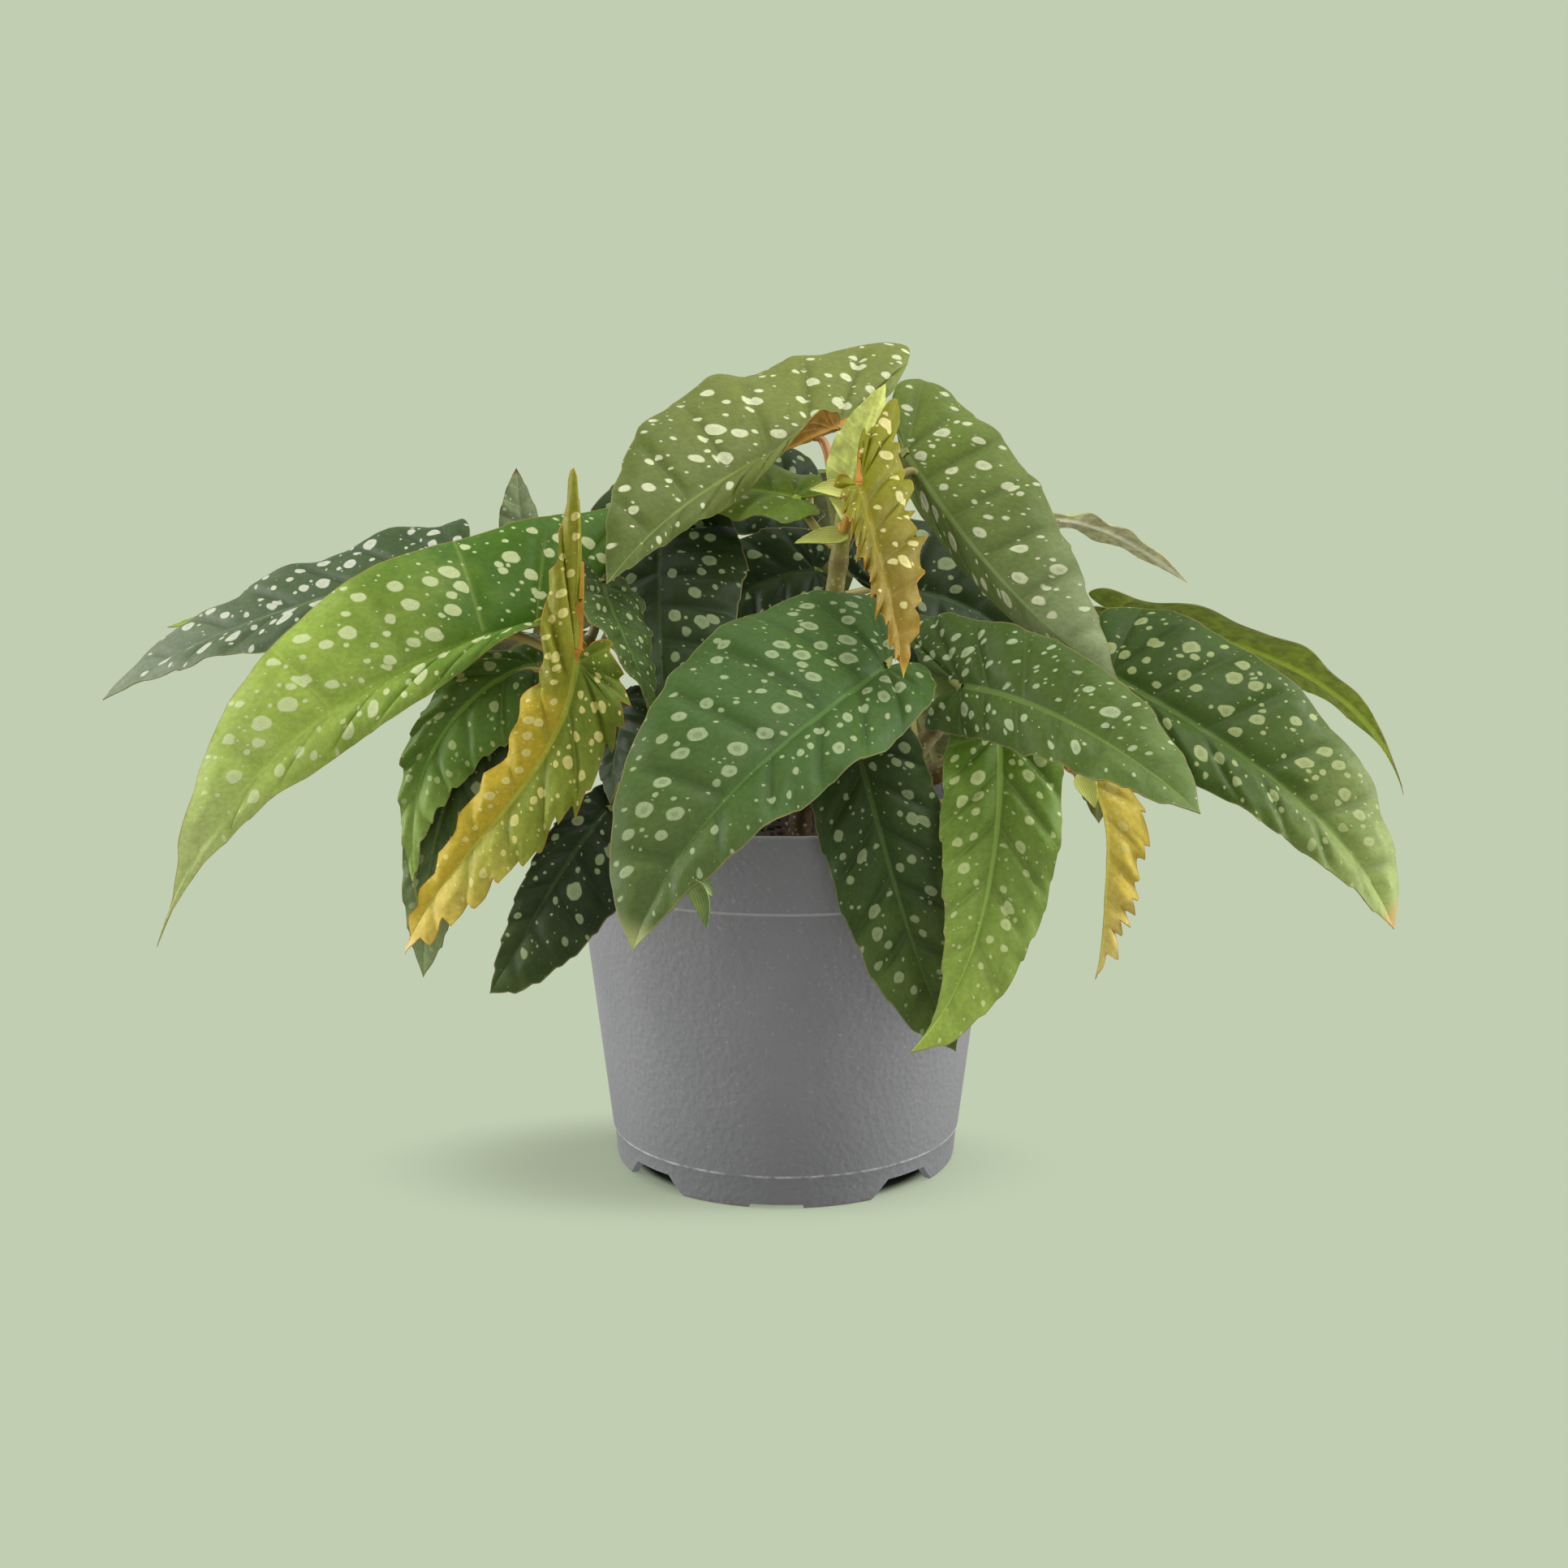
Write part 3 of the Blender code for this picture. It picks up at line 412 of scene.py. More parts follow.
def smooth_path(knots, count):
    """count + 1 points, evenly spaced along a smooth curve through the knots."""
    knots = np.asarray(knots, float)
    knots = np.vstack([2 * knots[0] - knots[1], knots, 2 * knots[-1] - knots[-2]])
    t = np.linspace(0, 1, 16, endpoint=False)[:, None]
    points = []
    for before, start, end, after in zip(knots, knots[1:], knots[2:], knots[3:]):
        bend = 2 * before - 5 * start + 4 * end - after
        twist = 3 * start - before - 3 * end + after
        points.append(0.5 * (2 * start + (end - before) * t + bend * t**2 + twist * t**3))
    points = np.vstack(points + [knots[-2:-1]])
    run = np.r_[0, np.cumsum(np.linalg.norm(np.diff(points, axis=0), axis=1))]
    return read_off(np.linspace(0, run[-1], count + 1), run, points)


def along(values, s):
    """A value that runs evenly from the first to the last, by way of a middle one if there are three."""
    if len(values) == 2:
        return values[0] + (values[1] - values[0]) * s
    start, middle, end = values
    return start * (1 - s) * (1 - 2 * s) + 4 * middle * s * (1 - s) + end * s * (2 * s - 1)


def headings(bearing, pitch, roll):
    """Along a part, to its left, and out of its upper face, for angles in radians."""
    level = np.cos(pitch)
    forward = np.stack([np.cos(bearing) * level, np.sin(bearing) * level, np.sin(pitch)], -1)
    flat_left = np.stack([-np.sin(bearing), np.cos(bearing), 0 * pitch], -1)
    flat_up = np.cross(forward, flat_left)
    left = flat_left * np.cos(roll) + flat_up * np.sin(roll)
    up = flat_up * np.cos(roll) - flat_left * np.sin(roll)
    return forward, left, up


def directions(leaf, s):
    """Along the midrib, to the leaf's left, and out of its upper face, at each s from 0 to 1."""
    bearing, pitch, roll = (np.radians(along(values, s)) for values in (leaf.bearing, leaf.pitch, leaf.roll))
    return headings(bearing, pitch, roll[:, None])


def midrib(leaf):
    """Points down the midrib, with the three directions at each."""
    middles = (np.arange(RIB_STEPS) + 0.5) / RIB_STEPS
    steps = directions(leaf, middles)[0] * leaf.length / RIB_STEPS
    points = np.vstack([np.zeros(3), np.cumsum(steps, axis=0)]) + np.array(leaf.base, float)
    return points, directions(leaf, np.linspace(0, 1, RIB_STEPS + 1))


def flat_margin(leaf, side, rows):
    """The edge of one half of the flattened leaf, from the stalk round the lobe to the tip."""
    length, width = leaf.length, leaf.width[side]
    lobe, full, ear = leaf.lobe[side], leaf.full[side], leaf.ear[side]
    behind = [(0, 0), (-0.62 * lobe, 0.28 * ear * width), (-lobe, ear * width),
              (-0.62 * lobe + 0.02 * length, (0.57 + 0.5 * ear) * width)]
    ahead = [(0.10, 0.93 + 0.1 * ear), (0.28, 1), (0.50, 0.80 + 0.12 * full), (0.72, 0.46 + 0.26 * full),
             (0.89, 0.15 + 0.26 * full), (1, 0)]
    return smooth_path(behind + [(share * length, out * width) for share, out in ahead], rows)


def serration(count, u, draw):
    """From 0 to 1 along each of about count teeth, slowly up and sharply back towards the tip."""
    spacing = np.cumsum(draw.uniform(0.6, 1.4, 4 * count))
    spacing *= count / spacing[count - 1]
    phase = np.interp(u * count, np.r_[0, spacing], np.arange(4 * count + 1))
    height = draw.uniform(0.45, 1.0, 4 * count + 1)[phase.astype(int)]
    part = phase % 1
    return height * np.where(part < 0.8, part / 0.8, (1 - part) / 0.2)


def half_blade(leaf, look, side, draw):
    """One half as arrays by row from stalk to tip and by strip from midrib to margin: its points, and a
    dictionary of where each is on the flattened leaf."""
    length, width = leaf.length, leaf.width[side]
    u = np.linspace(0, 1, BLADE_ROWS + 1)
    v = np.linspace(0, 1, BLADE_STRIPS + 1)
    margin = flat_margin(leaf, side, BLADE_ROWS)
    root = np.clip((u - FAN) / (1 - FAN), 0, 1) ** 1.12 * length
    root = np.stack([root, 0 * root], -1)
    ray = np.linalg.norm(margin - root, axis=1)
    coarse = COARSE_TEETH[length > LONG_LEAF]
    count, depth = look.teeth
    saw = serration(count, u, draw) * np.clip(np.minimum(u, 1 - u) / 0.05, 0, 1)
    stretch = 1 - leaf.tooth * np.cos(coarse * math.pi * u) + depth * (saw - 0.4) / np.maximum(ray, 2.0)
    spread = (margin - root) * stretch[:, None]
    flat = root[:, None] + spread[:, None] * v[None, :, None]
    x, y = flat[..., 0], flat[..., 1]
    # The half leaves the midrib at its fold angle and curls by its curl angle on the way to the margin.
    # Its first half may be turned up further.
    near = np.clip(1 - x / (TURN_UP_SHARE * length), 0, 1)
    fold = np.radians(leaf.fold[side] + leaf.turn_up[side] * near**2 * (3 - 2 * near))
    curl = math.radians(leaf.curl[side]) / width
    out = (np.sin(fold + curl * y) - np.sin(fold)) / curl
    rise = (np.cos(fold) - np.cos(fold + curl * y)) / curl
    ripple = 2 * math.pi * (3.5 * x / length + 0.5 * side)
    rise += WAVE_PERCENT * length / 100 * (y / width) ** 2 * np.sin(ripple)
    # The margin is crinkled in time with its teeth, and the blade is puffed up between the side veins.
    crinkle = np.sin(2 * math.pi * (count * 0.62 * u + draw.uniform(0, 1)) + 2 * np.sin(9 * u + side))
    rise += look.crinkle * crinkle[:, None] * v[None] ** 3 * np.clip(ray / 8, 0, 1)[:, None]
    vein = 0.5 - np.abs((u * VEINS + 0.15 * side) % 1 - 0.5)
    vein = vein[:, None] / VEINS * np.linalg.norm(np.gradient(flat, u, axis=0), axis=-1)
    inner = np.clip(y / 4, 0, 1) * np.clip((1 - v[None]) * ray[:, None] / 5, 0, 1)
    rise += look.relief * (1 - np.exp(-((vein / 1.8) ** 2))) * inner
    points, (forward, left, up) = midrib(leaf)
    s = np.linspace(0, 1, RIB_STEPS + 1)
    here = np.clip(x / length, 0, 1)

    def at(values):
        return read_off(here, s, values)

    sign = 1 if side == 0 else -1
    behind = np.minimum(x, 0)[..., None]
    made = at(points) + at(forward) * behind + at(left) * (sign * out)[..., None] + at(up) * rise[..., None]
    edge = (1 - v[None]) * np.linalg.norm(spread, axis=1)[:, None]
    return made, {"x": x, "y": sign * y, "v": np.broadcast_to(v, x.shape), "vein": vein, "edge": edge}


def blade_grid(leaf, look, draw):
    """The whole upper face as one grid, from the left margin over the midrib to the right margin."""
    (left, left_at), (right, right_at) = (half_blade(leaf, look, side, draw) for side in (0, 1))

    def joined(a, b):
        return np.concatenate([a[:, ::-1], b[:, 1:]], axis=1)

    return joined(left, right), {key: joined(left_at[key], right_at[key]) for key in left_at}


def grid_normals(grid):
    """A unit normal out of the upper face at each point. Where rows meet in one point, the next row's is
    used."""
    normal = np.cross(np.gradient(grid, axis=1), np.gradient(grid, axis=0))
    size = np.linalg.norm(normal, axis=-1, keepdims=True)
    normal = normal / np.maximum(size, 1e-9)
    rows = np.arange(len(grid))
    for j in range(grid.shape[1]):
        good = np.flatnonzero(size[:, j, 0] >= 1e-3)
        nearest = good[np.abs(rows[:, None] - good[None]).argmin(axis=1)]
        normal[:, j] = normal[nearest, j]
    return normal


def cane_line(cane):
    """The cane's points and radii: it stands upright in the soil, then follows its path."""
    points = smooth_path([*((*cane.foot, z) for z in CANE_UPRIGHT), *cane.path], CANE_STEPS)
    return points, np.linspace(*CANE_RADII, CANE_STEPS + 1)


def stalk_line(leaf):
    """From the side of the cane, out and over to the underside of the blade, just past its base."""
    points, radii = cane_line(next(cane for cane in CANES if cane.name == leaf.cane))
    share = np.linspace(0, 1, CANE_STEPS + 1)

    def at(height):
        return read_off(height, share, points)

    core, thick = at(leaf.height), np.interp(leaf.height, share, radii)
    axis = at(leaf.height + 0.02) - at(leaf.height - 0.02)
    axis /= np.linalg.norm(axis)
    ribs, (forward, _, up) = midrib(leaf)
    bow = np.array(leaf.bow, float)
    end = ribs[STALK_END] - up[STALK_END] * STALK_BELOW
    reach = end - core + bow
    out = reach - axis * np.dot(reach, axis)
    out /= np.linalg.norm(out)
    start = core + out * (thick + GAP + STALK_CLEARANCE)
    span = np.linalg.norm(end - start)
    t = np.linspace(0, 1, STALK_STEPS + 1)[:, None]
    first = start + out * span * 0.3 + bow * 0.8
    second = end - forward[STALK_END] * span * 0.35 + bow * 0.5
    curve = (1 - t) ** 3 * start + 3 * (1 - t) ** 2 * t * first + 3 * (1 - t) * t**2 * second + t**3 * end
    return np.vstack([core + out * thick * 0.6, start, start + out * 0.8, curve[1:]])


def add_object(name, data):
    obj = bpy.data.objects.new(name, data)
    bpy.context.scene.collection.objects.link(obj)
    return obj


class Shape:
    """Collects grids and tubes for one piece. A point carries two triples for its material: where it is on
    the flattened leaf, and how far it is from the margin, from a side vein, and along the part."""

    def __init__(self):
        self.points, self.faces, self.slots, self.flat, self.near = [], [], [], [], []
        self.count = 0

    def add(self, points, faces, slot, flat=None, near=None):
        points = np.asarray(points, float).reshape(-1, 3)
        self.points.append(points)
        self.faces += [tuple(self.count + corner for corner in face) for face in faces]
        self.slots += [slot] * len(faces)
        for store, values in ((self.flat, flat), (self.near, near)):
            store.append(np.zeros_like(points) if values is None else np.asarray(values).reshape(-1, 3))
        self.count += len(points)

    def add_sheet(self, upper, lower, slots, flat, near):
        """A thin sheet of two grids, closed along its sides. The slots are those of its two faces."""
        faces, edge = grid_faces(*upper.shape[:2]), grid_faces(len(upper), 2)
        self.add(upper, faces, slots[0], flat, near)
        self.add(lower, flipped(faces), slots[1], flat, near)
        for column, faces in ((0, flipped(edge)), (-1, edge)):
            both = [column] * 2
            self.add(np.stack([upper[:, column], lower[:, column]], axis=1), faces, slots[0],
                     flat[:, both], near[:, both])

    def build(self, name, materials, sharp_angle=SHARP_ANGLE):
        mesh = bpy.data.meshes.new(name)
        points = (np.vstack(self.points) + [*POT_AXIS, 0]) * MM
        mesh.from_pydata(points.tolist(), [], self.faces)
        for key, store in (("flat", self.flat), ("near", self.near)):
            data = mesh.attributes.new(key, "FLOAT_VECTOR", "POINT").data
            data.foreach_set("vector", np.vstack(store).astype(np.float32).ravel())
        mesh.polygons.foreach_set("material_index", self.slots)
        for material in materials:
            mesh.materials.append(material)
        welded = bmesh.new()
        welded.from_mesh(mesh)
        bmesh.ops.remove_doubles(welded, verts=welded.verts, dist=WELD)
        bmesh.ops.dissolve_degenerate(welded, dist=WELD, edges=welded.edges)
        welded.to_mesh(mesh)
        welded.free()
        mesh.shade_smooth()
        mesh.set_sharp_from_angle(angle=math.radians(sharp_angle))
        return add_object(name, mesh)


def grid_faces(rows, columns, closed=False):
    """Quads of a grid of points, facing along (next column) x (next row)."""
    faces = []
    for i in range(rows - 1):
        for j in range(columns if closed else columns - 1):
            k = (j + 1) % columns
            faces.append((i * columns + j, i * columns + k, (i + 1) * columns + k, (i + 1) * columns + j))
    return faces


def flipped(faces):
    return [face[::-1] for face in faces]


def tube(points, radii, sides):
    """Points and faces of a round tube with closed ends."""
    ahead = np.gradient(points, axis=0)
    ahead /= np.linalg.norm(ahead, axis=1, keepdims=True)
    side = np.cross(ahead[0], (0.3, 0.5, 0.8))
    turn = np.linspace(0, 2 * math.pi, sides, endpoint=False)[:, None]
    rings = []
    for point, direction, radius in zip(points, ahead, radii):
        side = side - direction * np.dot(side, direction)
        side /= np.linalg.norm(side)
        rings.append(point + radius * (np.cos(turn) * side + np.sin(turn) * np.cross(direction, side)))
    count = len(points)
    faces = grid_faces(count, sides, closed=True)
    faces.append(tuple(range(sides))[::-1])
    faces.append(tuple((count - 1) * sides + k for k in range(sides)))
    return np.vstack(rings), faces


def linear(colour):
    """An 8-bit sRGB colour as linear RGBA."""
    parts = [c / 255 for c in colour]
    return (*[c / 12.92 if c <= 0.04045 else ((c + 0.055) / 1.055) ** 2.4 for c in parts], 1)


def shaded(colour, factor, more=0):
    return tuple(min(255, round(c * factor + more)) for c in colour)


class Graph:
    """A material or node group being wired up. Values may be numbers, sockets, or 8-bit sRGB colours."""

    def __init__(self, tree):
        self.tree = tree

    def put(self, socket, value):
        if isinstance(value, bpy.types.NodeSocket):
            self.tree.links.new(value, socket)
        elif socket.type == "RGBA" and len(value) == 3:
            socket.default_value = linear(value)
        else:
            socket.default_value = value

    def node(self, kind, inputs=(), **settings):
        node = self.tree.nodes.new("ShaderNode" + kind)
        for key, value in settings.items():
            setattr(node, key, value)
        for key, value in dict(inputs).items():
            self.put(node.inputs[key], value)
        return node

    def math(self, operation, *values):
        return self.node("Math", enumerate(values), operation=operation).outputs[0]

    def times(self, first, *others):
        for other in others:
            first = self.math("MULTIPLY", first, other)
        return first

    def vector(self, operation, *values):
        node = self.node("VectorMath", enumerate(values), operation=operation)
        return node.outputs["Value" if operation == "LENGTH" else "Vector"]

    def step(self, value, start, end, low=0.0, high=1.0):
        """Runs smoothly from low to high as the value goes from start to end."""
        inputs = {"Value": value, "From Min": start, "From Max": end, "To Min": low, "To Max": high}
        return self.node("MapRange", inputs, interpolation_type="SMOOTHSTEP").outputs[0]

    def mix(self, share, a, b, blend="MIX"):
        inputs = {"Factor": share, 6: a, 7: b}
        return self.node("Mix", inputs, data_type="RGBA", blend_type=blend).outputs[2]

    def noise(self, place, scale, detail=2.0, roughness=0.5):
        inputs = {"Vector": place, "Scale": scale, "Detail": detail, "Roughness": roughness}
        return self.node("TexNoise", inputs).outputs[0]

    def ramp(self, value, *stops):
        node = self.node("ValToRGB", {"Fac": value})
        points = node.color_ramp.elements
        while len(points) < len(stops):
            points.new(1.0)
        for point, (place, colour) in zip(points, stops):
            point.position, point.color = place, linear(colour)
        return node.outputs[0]

    def stored(self, name):
        """The attribute of that name, as a vector and as its three parts."""
        whole = self.node("Attribute", attribute_name=name).outputs["Vector"]
        return whole, self.node("SeparateXYZ", {"Vector": whole}).outputs

    def surface(self, colour, rough, height, strength, depth, shine=0.5):
        """Fills in the shader. The height makes its bumps, and their depth is in metres."""
        bumps = self.node("Bump", {"Height": height, "Strength": strength, "Distance": depth}).outputs[0]
        shader = self.tree.nodes["Principled BSDF"]
        for key, value in (("Base Color", colour), ("Roughness", rough), ("Normal", bumps)):
            self.put(shader.inputs[key], value)
        shader.inputs["Specular IOR Level"].default_value = shine


def new_material(name):
    material = bpy.data.materials.new(name)
    material.use_nodes = True
    return material, Graph(material.node_tree)


def spot_group():
    """Round pale spots in three sizes on the flattened leaf: in, a place in millimetres, and how much the
    spots are shrunk; out, the spots, and the darker middles of the large ones."""
    tree = bpy.data.node_groups.new("leaf_spots", "ShaderNodeTree")
    for name, kind, way in (
        ("Place", "NodeSocketVector", "INPUT"), ("Shrink", "NodeSocketFloat", "INPUT"),
        ("Spots", "NodeSocketFloat", "OUTPUT"), ("Middles", "NodeSocketFloat", "OUTPUT"),
    ):
        tree.interface.new_socket(name, in_out=way, socket_type=kind)
    graph = Graph(tree)
    given = tree.nodes.new("NodeGroupInput")
    place, clear = given.outputs["Place"], given.outputs["Shrink"]
    wobble = graph.node("TexNoise", {"Vector": place, "Scale": 0.3, "Detail": 1.0}, noise_dimensions="2D")
    shift = graph.vector("SUBTRACT", wobble.outputs["Color"], (0.5, 0.5, 0.5))
    bent = graph.vector("MULTIPLY_ADD", shift, (SPOT_WOBBLE,) * 3, place)
    found = []
    for cell, low, high, rarity, offset, blur in SPOT_SIZES:
        moved = graph.vector("ADD", bent, (offset, 0.7 * offset, 0))
        inputs = {"Vector": moved, "Scale": 1 / cell, "Randomness": 0.8}
        cells = graph.node("TexVoronoi", inputs, voronoi_dimensions="2D")
        chance = graph.node("SeparateColor", {"Color": cells.outputs["Color"]}).outputs[0]
        share = graph.math("POWER", chance, rarity)
        radius = graph.times(graph.math("MULTIPLY_ADD", share, (high - low) / cell, low / cell), clear)
        away = graph.math("SUBTRACT", cells.outputs["Distance"], radius)
        found.append((away, cell, graph.step(away, blur / cell, -blur / cell)))
        # Smaller spots keep off the larger ones.
        clear = graph.times(clear, graph.step(away, 0.25 / cell, 1.1 / cell))
    (away, cell, large), (_, _, medium), (_, _, small) = found
    out = tree.nodes.new("NodeGroupOutput")
    graph.put(out.inputs["Spots"], graph.math("MAXIMUM", graph.math("MAXIMUM", large, medium), small))
    graph.put(out.inputs["Middles"], graph.step(away, -0.8 / cell, -1.4 / cell))
    return tree


def upper_material(leaf, look, spots):
    """A leaf's upper face, with its veins, spots and edge."""
    material, graph = new_material(leaf.name + "_upper")
    place, (_, y, _) = graph.stored("flat")
    _, (edge, vein, share) = graph.stored("near")
    rib = graph.math("ABSOLUTE", y)
    # The colour down the leaf, mottled, lighter along the veins, and palest on the midrib.
    blotches = graph.math("SUBTRACT", graph.noise(place, 0.09, 3.0), 0.5)
    run = graph.math("ADD", share, graph.times(blotches, 0.35))
    colour = graph.ramp(run, (0.05, look.base), (0.5, look.middle), (0.95, look.tip))
    if look.right:
        side = graph.times(graph.step(y, 1.5, -1.5), graph.step(run, 1.05, 0.75, 0.0, 0.9),
                           graph.step(run, 0.0, 0.25, 0.3, 1.0))
        colour = graph.mix(side, colour, look.right)
    mottle = graph.step(graph.noise(place, 0.8, 4.0, 0.6), 0.25, 0.75, 0.86, 1.12)
    colour = graph.mix(1.0, colour, mottle, "MULTIPLY")
    # Painted shade: darker strips beside the side veins, as if they lay in shade in their grooves, fading out
    # near the margin.
    beside = graph.times(graph.step(vein, 2.6, 0.6, 0.0, look.vein_shade), graph.step(edge, 1.0, 9.0))
    colour = graph.mix(beside, colour, shaded(look.middle, 0.6))
    pale = shaded(look.middle, 1.35, 12)
    colour = graph.mix(graph.step(vein, 0.9, 0.1, 0.0, look.veins), colour, pale)
    rib_place = graph.math("DIVIDE", rib, graph.step(share, 0.0, 1.0, 1.1, 0.25))
    colour = graph.mix(graph.step(rib_place, 1.0, 0.5, 0.0, look.rib), colour, pale)
    # Spots thin out at the midrib, at the margin and beside the side veins.
    shrink = graph.times(graph.step(edge, 0.3, 7.0, 0.35, 1.0), graph.step(rib, 0.8, 3.5, 0.15, 1.0),
                         graph.step(vein, 0.0, 1.6, 0.55, 1.0), look.amount)
    inputs = {"Place": graph.vector("MULTIPLY", place, (1 / look.size,) * 3), "Shrink": shrink}
    spot, middle = graph.node("Group", inputs, node_tree=spots).outputs[:2]
    speck = graph.step(graph.noise(place, 2.6, 3.0, 0.6), 0.2, 0.7, 0.62, 0.95)
    colour = graph.mix(graph.times(spot, speck), colour, look.spot)
    colour = graph.mix(graph.times(middle, look.hollow), colour, look.middle)
    colour = graph.mix(graph.step(edge, 0.5, 0.05, 0.0, 0.7), colour, look.edge)
    if look.end:
        colour = graph.mix(graph.step(share, 0.92, 0.985), colour, look.end)
    rough = graph.step(graph.noise(place, 0.3), 0.3, 0.7, 0.41, 0.53)
    rough = graph.math("ADD", rough, graph.times(spot, 0.06))
    height = graph.math("ADD", graph.noise(place, 3.2, 2.0, 0.6), graph.times(spot, 0.5))
    height = graph.math("SUBTRACT", height, graph.times(graph.step(vein, 0.6, 0.0), 0.8))
    graph.surface(colour, rough, height, 0.5, 0.00012, 0.16)
    return material


def under_material(leaf, look):
    """A leaf's underside, with pale veins that stand out."""
    material, graph = new_material(leaf.name + "_under")
    place, (_, y, _) = graph.stored("flat")
    _, (_, vein, _) = graph.stored("near")
    mottle = graph.step(graph.noise(place, 0.35, 4.0, 0.6), 0.3, 0.7)
    light = shaded(look.under, 1.25, 8)
    colour = graph.mix(mottle, shaded(look.under, 0.78), look.under)
    colour = graph.mix(graph.step(vein, 0.9, 0.15, 0.0, look.veins_below), colour, light)
    rib_line = graph.step(graph.math("ABSOLUTE", y), 1.5, 0.6, 0.0, 1.2 * look.rib)
    colour = graph.mix(rib_line, colour, light)
    rough = graph.step(graph.noise(place, 1.1), 0.3, 0.7, 0.5, 0.62)
    ridge = graph.step(vein, 1.0, 0.0, 0.0, 2 * look.veins_below)
    ridge = graph.math("ADD", ridge, graph.times(graph.noise(place, 2.4), 0.4))
    graph.surface(colour, rough, ridge, 0.6, 0.0003, 0.2)
    return material


def stalk_material(name, foot, head):
    """A leaf stalk: from one colour at the cane to another at the blade, with fine pale streaks."""
    material, graph = new_material(name)
    place, _ = graph.stored("flat")
    _, (_, _, share) = graph.stored("near")
    streaks = graph.noise(place, 0.8, 4.0, 0.6)
    colour = graph.ramp(share, (0.1, foot), (0.85, head))
    colour = graph.mix(graph.step(streaks, 0.5, 0.75, 0.0, 0.45), colour, (205, 190, 120))
    graph.surface(colour, graph.step(streaks, 0.3, 0.7, 0.38, 0.5), streaks, 0.4, 0.0002)
    return material


def cane_material():
    """Olive stem with pale flecks, browner towards the soil and at the joints."""
    material, graph = new_material("cane_bark")
    place, _ = graph.stored("flat")
    _, (joint, _, share) = graph.stored("near")
    rough = graph.noise(place, 0.5, 4.0, 0.65)
    flecks = graph.node("TexVoronoi", {"Vector": place, "Scale": 0.55}).outputs["Distance"]
    colour = graph.ramp(share, (0.25, (74, 58, 30)), (0.6, (120, 112, 50)), (1.0, (150, 146, 62)))
    colour = graph.mix(graph.step(flecks, 0.32, 0.18, 0.0, 0.6), colour, (186, 178, 120))
    colour = graph.mix(graph.times(joint, 0.55), colour, (96, 62, 34))
    colour = graph.mix(graph.step(rough, 0.45, 0.8, 0.0, 0.4), colour, (70, 60, 30))
    graph.surface(colour, graph.step(rough, 0.3, 0.7, 0.45, 0.6), rough, 0.6, 0.0004)
    return material


def pot_material():
    """Matt grey moulded plastic: a fine grain, faint flow marks, painted highlights along the lip and the
    band's lower edge, a scuffed foot edge, and a darker foot."""
    material, graph = new_material("moulded_plastic")
    where = graph.node("TexCoord").outputs["Object"]
    z = graph.node("SeparateXYZ", {"Vector": where}).outputs[2]
    grain = graph.noise(where, 1500.0, 3.0, 0.6)
    voronoi = graph.node("TexVoronoi", {"Vector": where, "Scale": 620.0}, feature="SMOOTH_F1")
    cloud = graph.noise(where, 26.0, 4.0, 0.6)
    patches = graph.noise(where, 210.0, 4.0, 0.7)
    colour = graph.ramp(cloud, (0.3, (122, 123, 124)), (0.7, (132, 133, 133)))
    specks = graph.step(graph.noise(where, 900.0), 0.62, 0.75, 0.0, 0.28)

    def line(height, *reach):
        return graph.step(graph.math("ABSOLUTE", graph.math("SUBTRACT", z, height * MM)), *reach)

    scuff = graph.times(line(FOOT_HEIGHT, 0.0006, 0.0001), graph.step(patches, 0.38, 0.6, 0.1, 0.8))
    # Painted highlight: a pale line along the top of the lip.
    lip = graph.step(z, (POT_HEIGHT - 0.9) * MM, (POT_HEIGHT - 0.2) * MM, 0.0, 0.45)
    dust = graph.times(graph.step(z, 0.004, 0.0, 0.0, 0.5), graph.step(patches, 0.4, 0.7))
    # Of these, the pale line at the band's lower edge and the pale lip are painted highlights.
    for share, tint in (
        (specks, (176, 178, 178)), (graph.step(z, 0.045, 0.0, 0.0, 0.5), (100, 101, 102)),
        (scuff, (196, 197, 194)), (line(BAND_FOOT, 0.0006, 0.0002, 0.0, 0.55), (186, 188, 186)),
        (lip, (178, 180, 180)), (dust, (92, 84, 72)),
    ):
        colour = graph.mix(share, colour, tint)
    height = graph.math("ADD", graph.times(grain, 0.5), voronoi.outputs["Distance"])
    graph.surface(colour, graph.step(cloud, 0.3, 0.7, 0.46, 0.56), height, 0.8, 0.0003, 0.4)
    return material


def soil_material(name, dark, light, scale):
    """Damp peat: dark crumbs with brown fibres."""
    material, graph = new_material(name)
    where = graph.node("TexCoord").outputs["Object"]
    crumb = graph.noise(where, scale, 5.0, 0.7)
    inputs = {"Vector": where, "Scale": scale * 0.9, "Distortion": 14.0, "Detail": 3.0}
    fibre = graph.node("TexWave", inputs).outputs["Fac"]
    colour = graph.mix(graph.step(crumb, 0.35, 0.7), dark, light)
    colour = graph.mix(graph.step(fibre, 0.9, 1.0, 0.0, 0.4), colour, (120, 86, 50))
    graph.surface(colour, graph.step(crumb, 0.3, 0.7, 0.78, 0.95), crumb, 0.9, 0.0008)
    return material


def sheath_material(name, near, far):
    """The papery sheath of a bud or a stalk: clear green with lengthwise veins."""
    material, graph = new_material(name)
    place, _ = graph.stored("flat")
    inputs = {"Vector": place, "Scale": 0.55, "Distortion": 1.5, "Detail": 2.0}
    stripes = graph.node("TexWave", inputs, bands_direction="Y").outputs["Fac"]
    colour = graph.ramp(graph.noise(place, 0.25, 3.0), (0.3, near), (0.7, far))
    colour = graph.mix(graph.step(stripes, 0.6, 1.0, 0.0, 0.5), colour, shaded(far, 1.2, 10))
    graph.surface(colour, graph.step(stripes, 0.0, 1.0, 0.42, 0.52), stripes, 0.3, 0.0001)
    return material


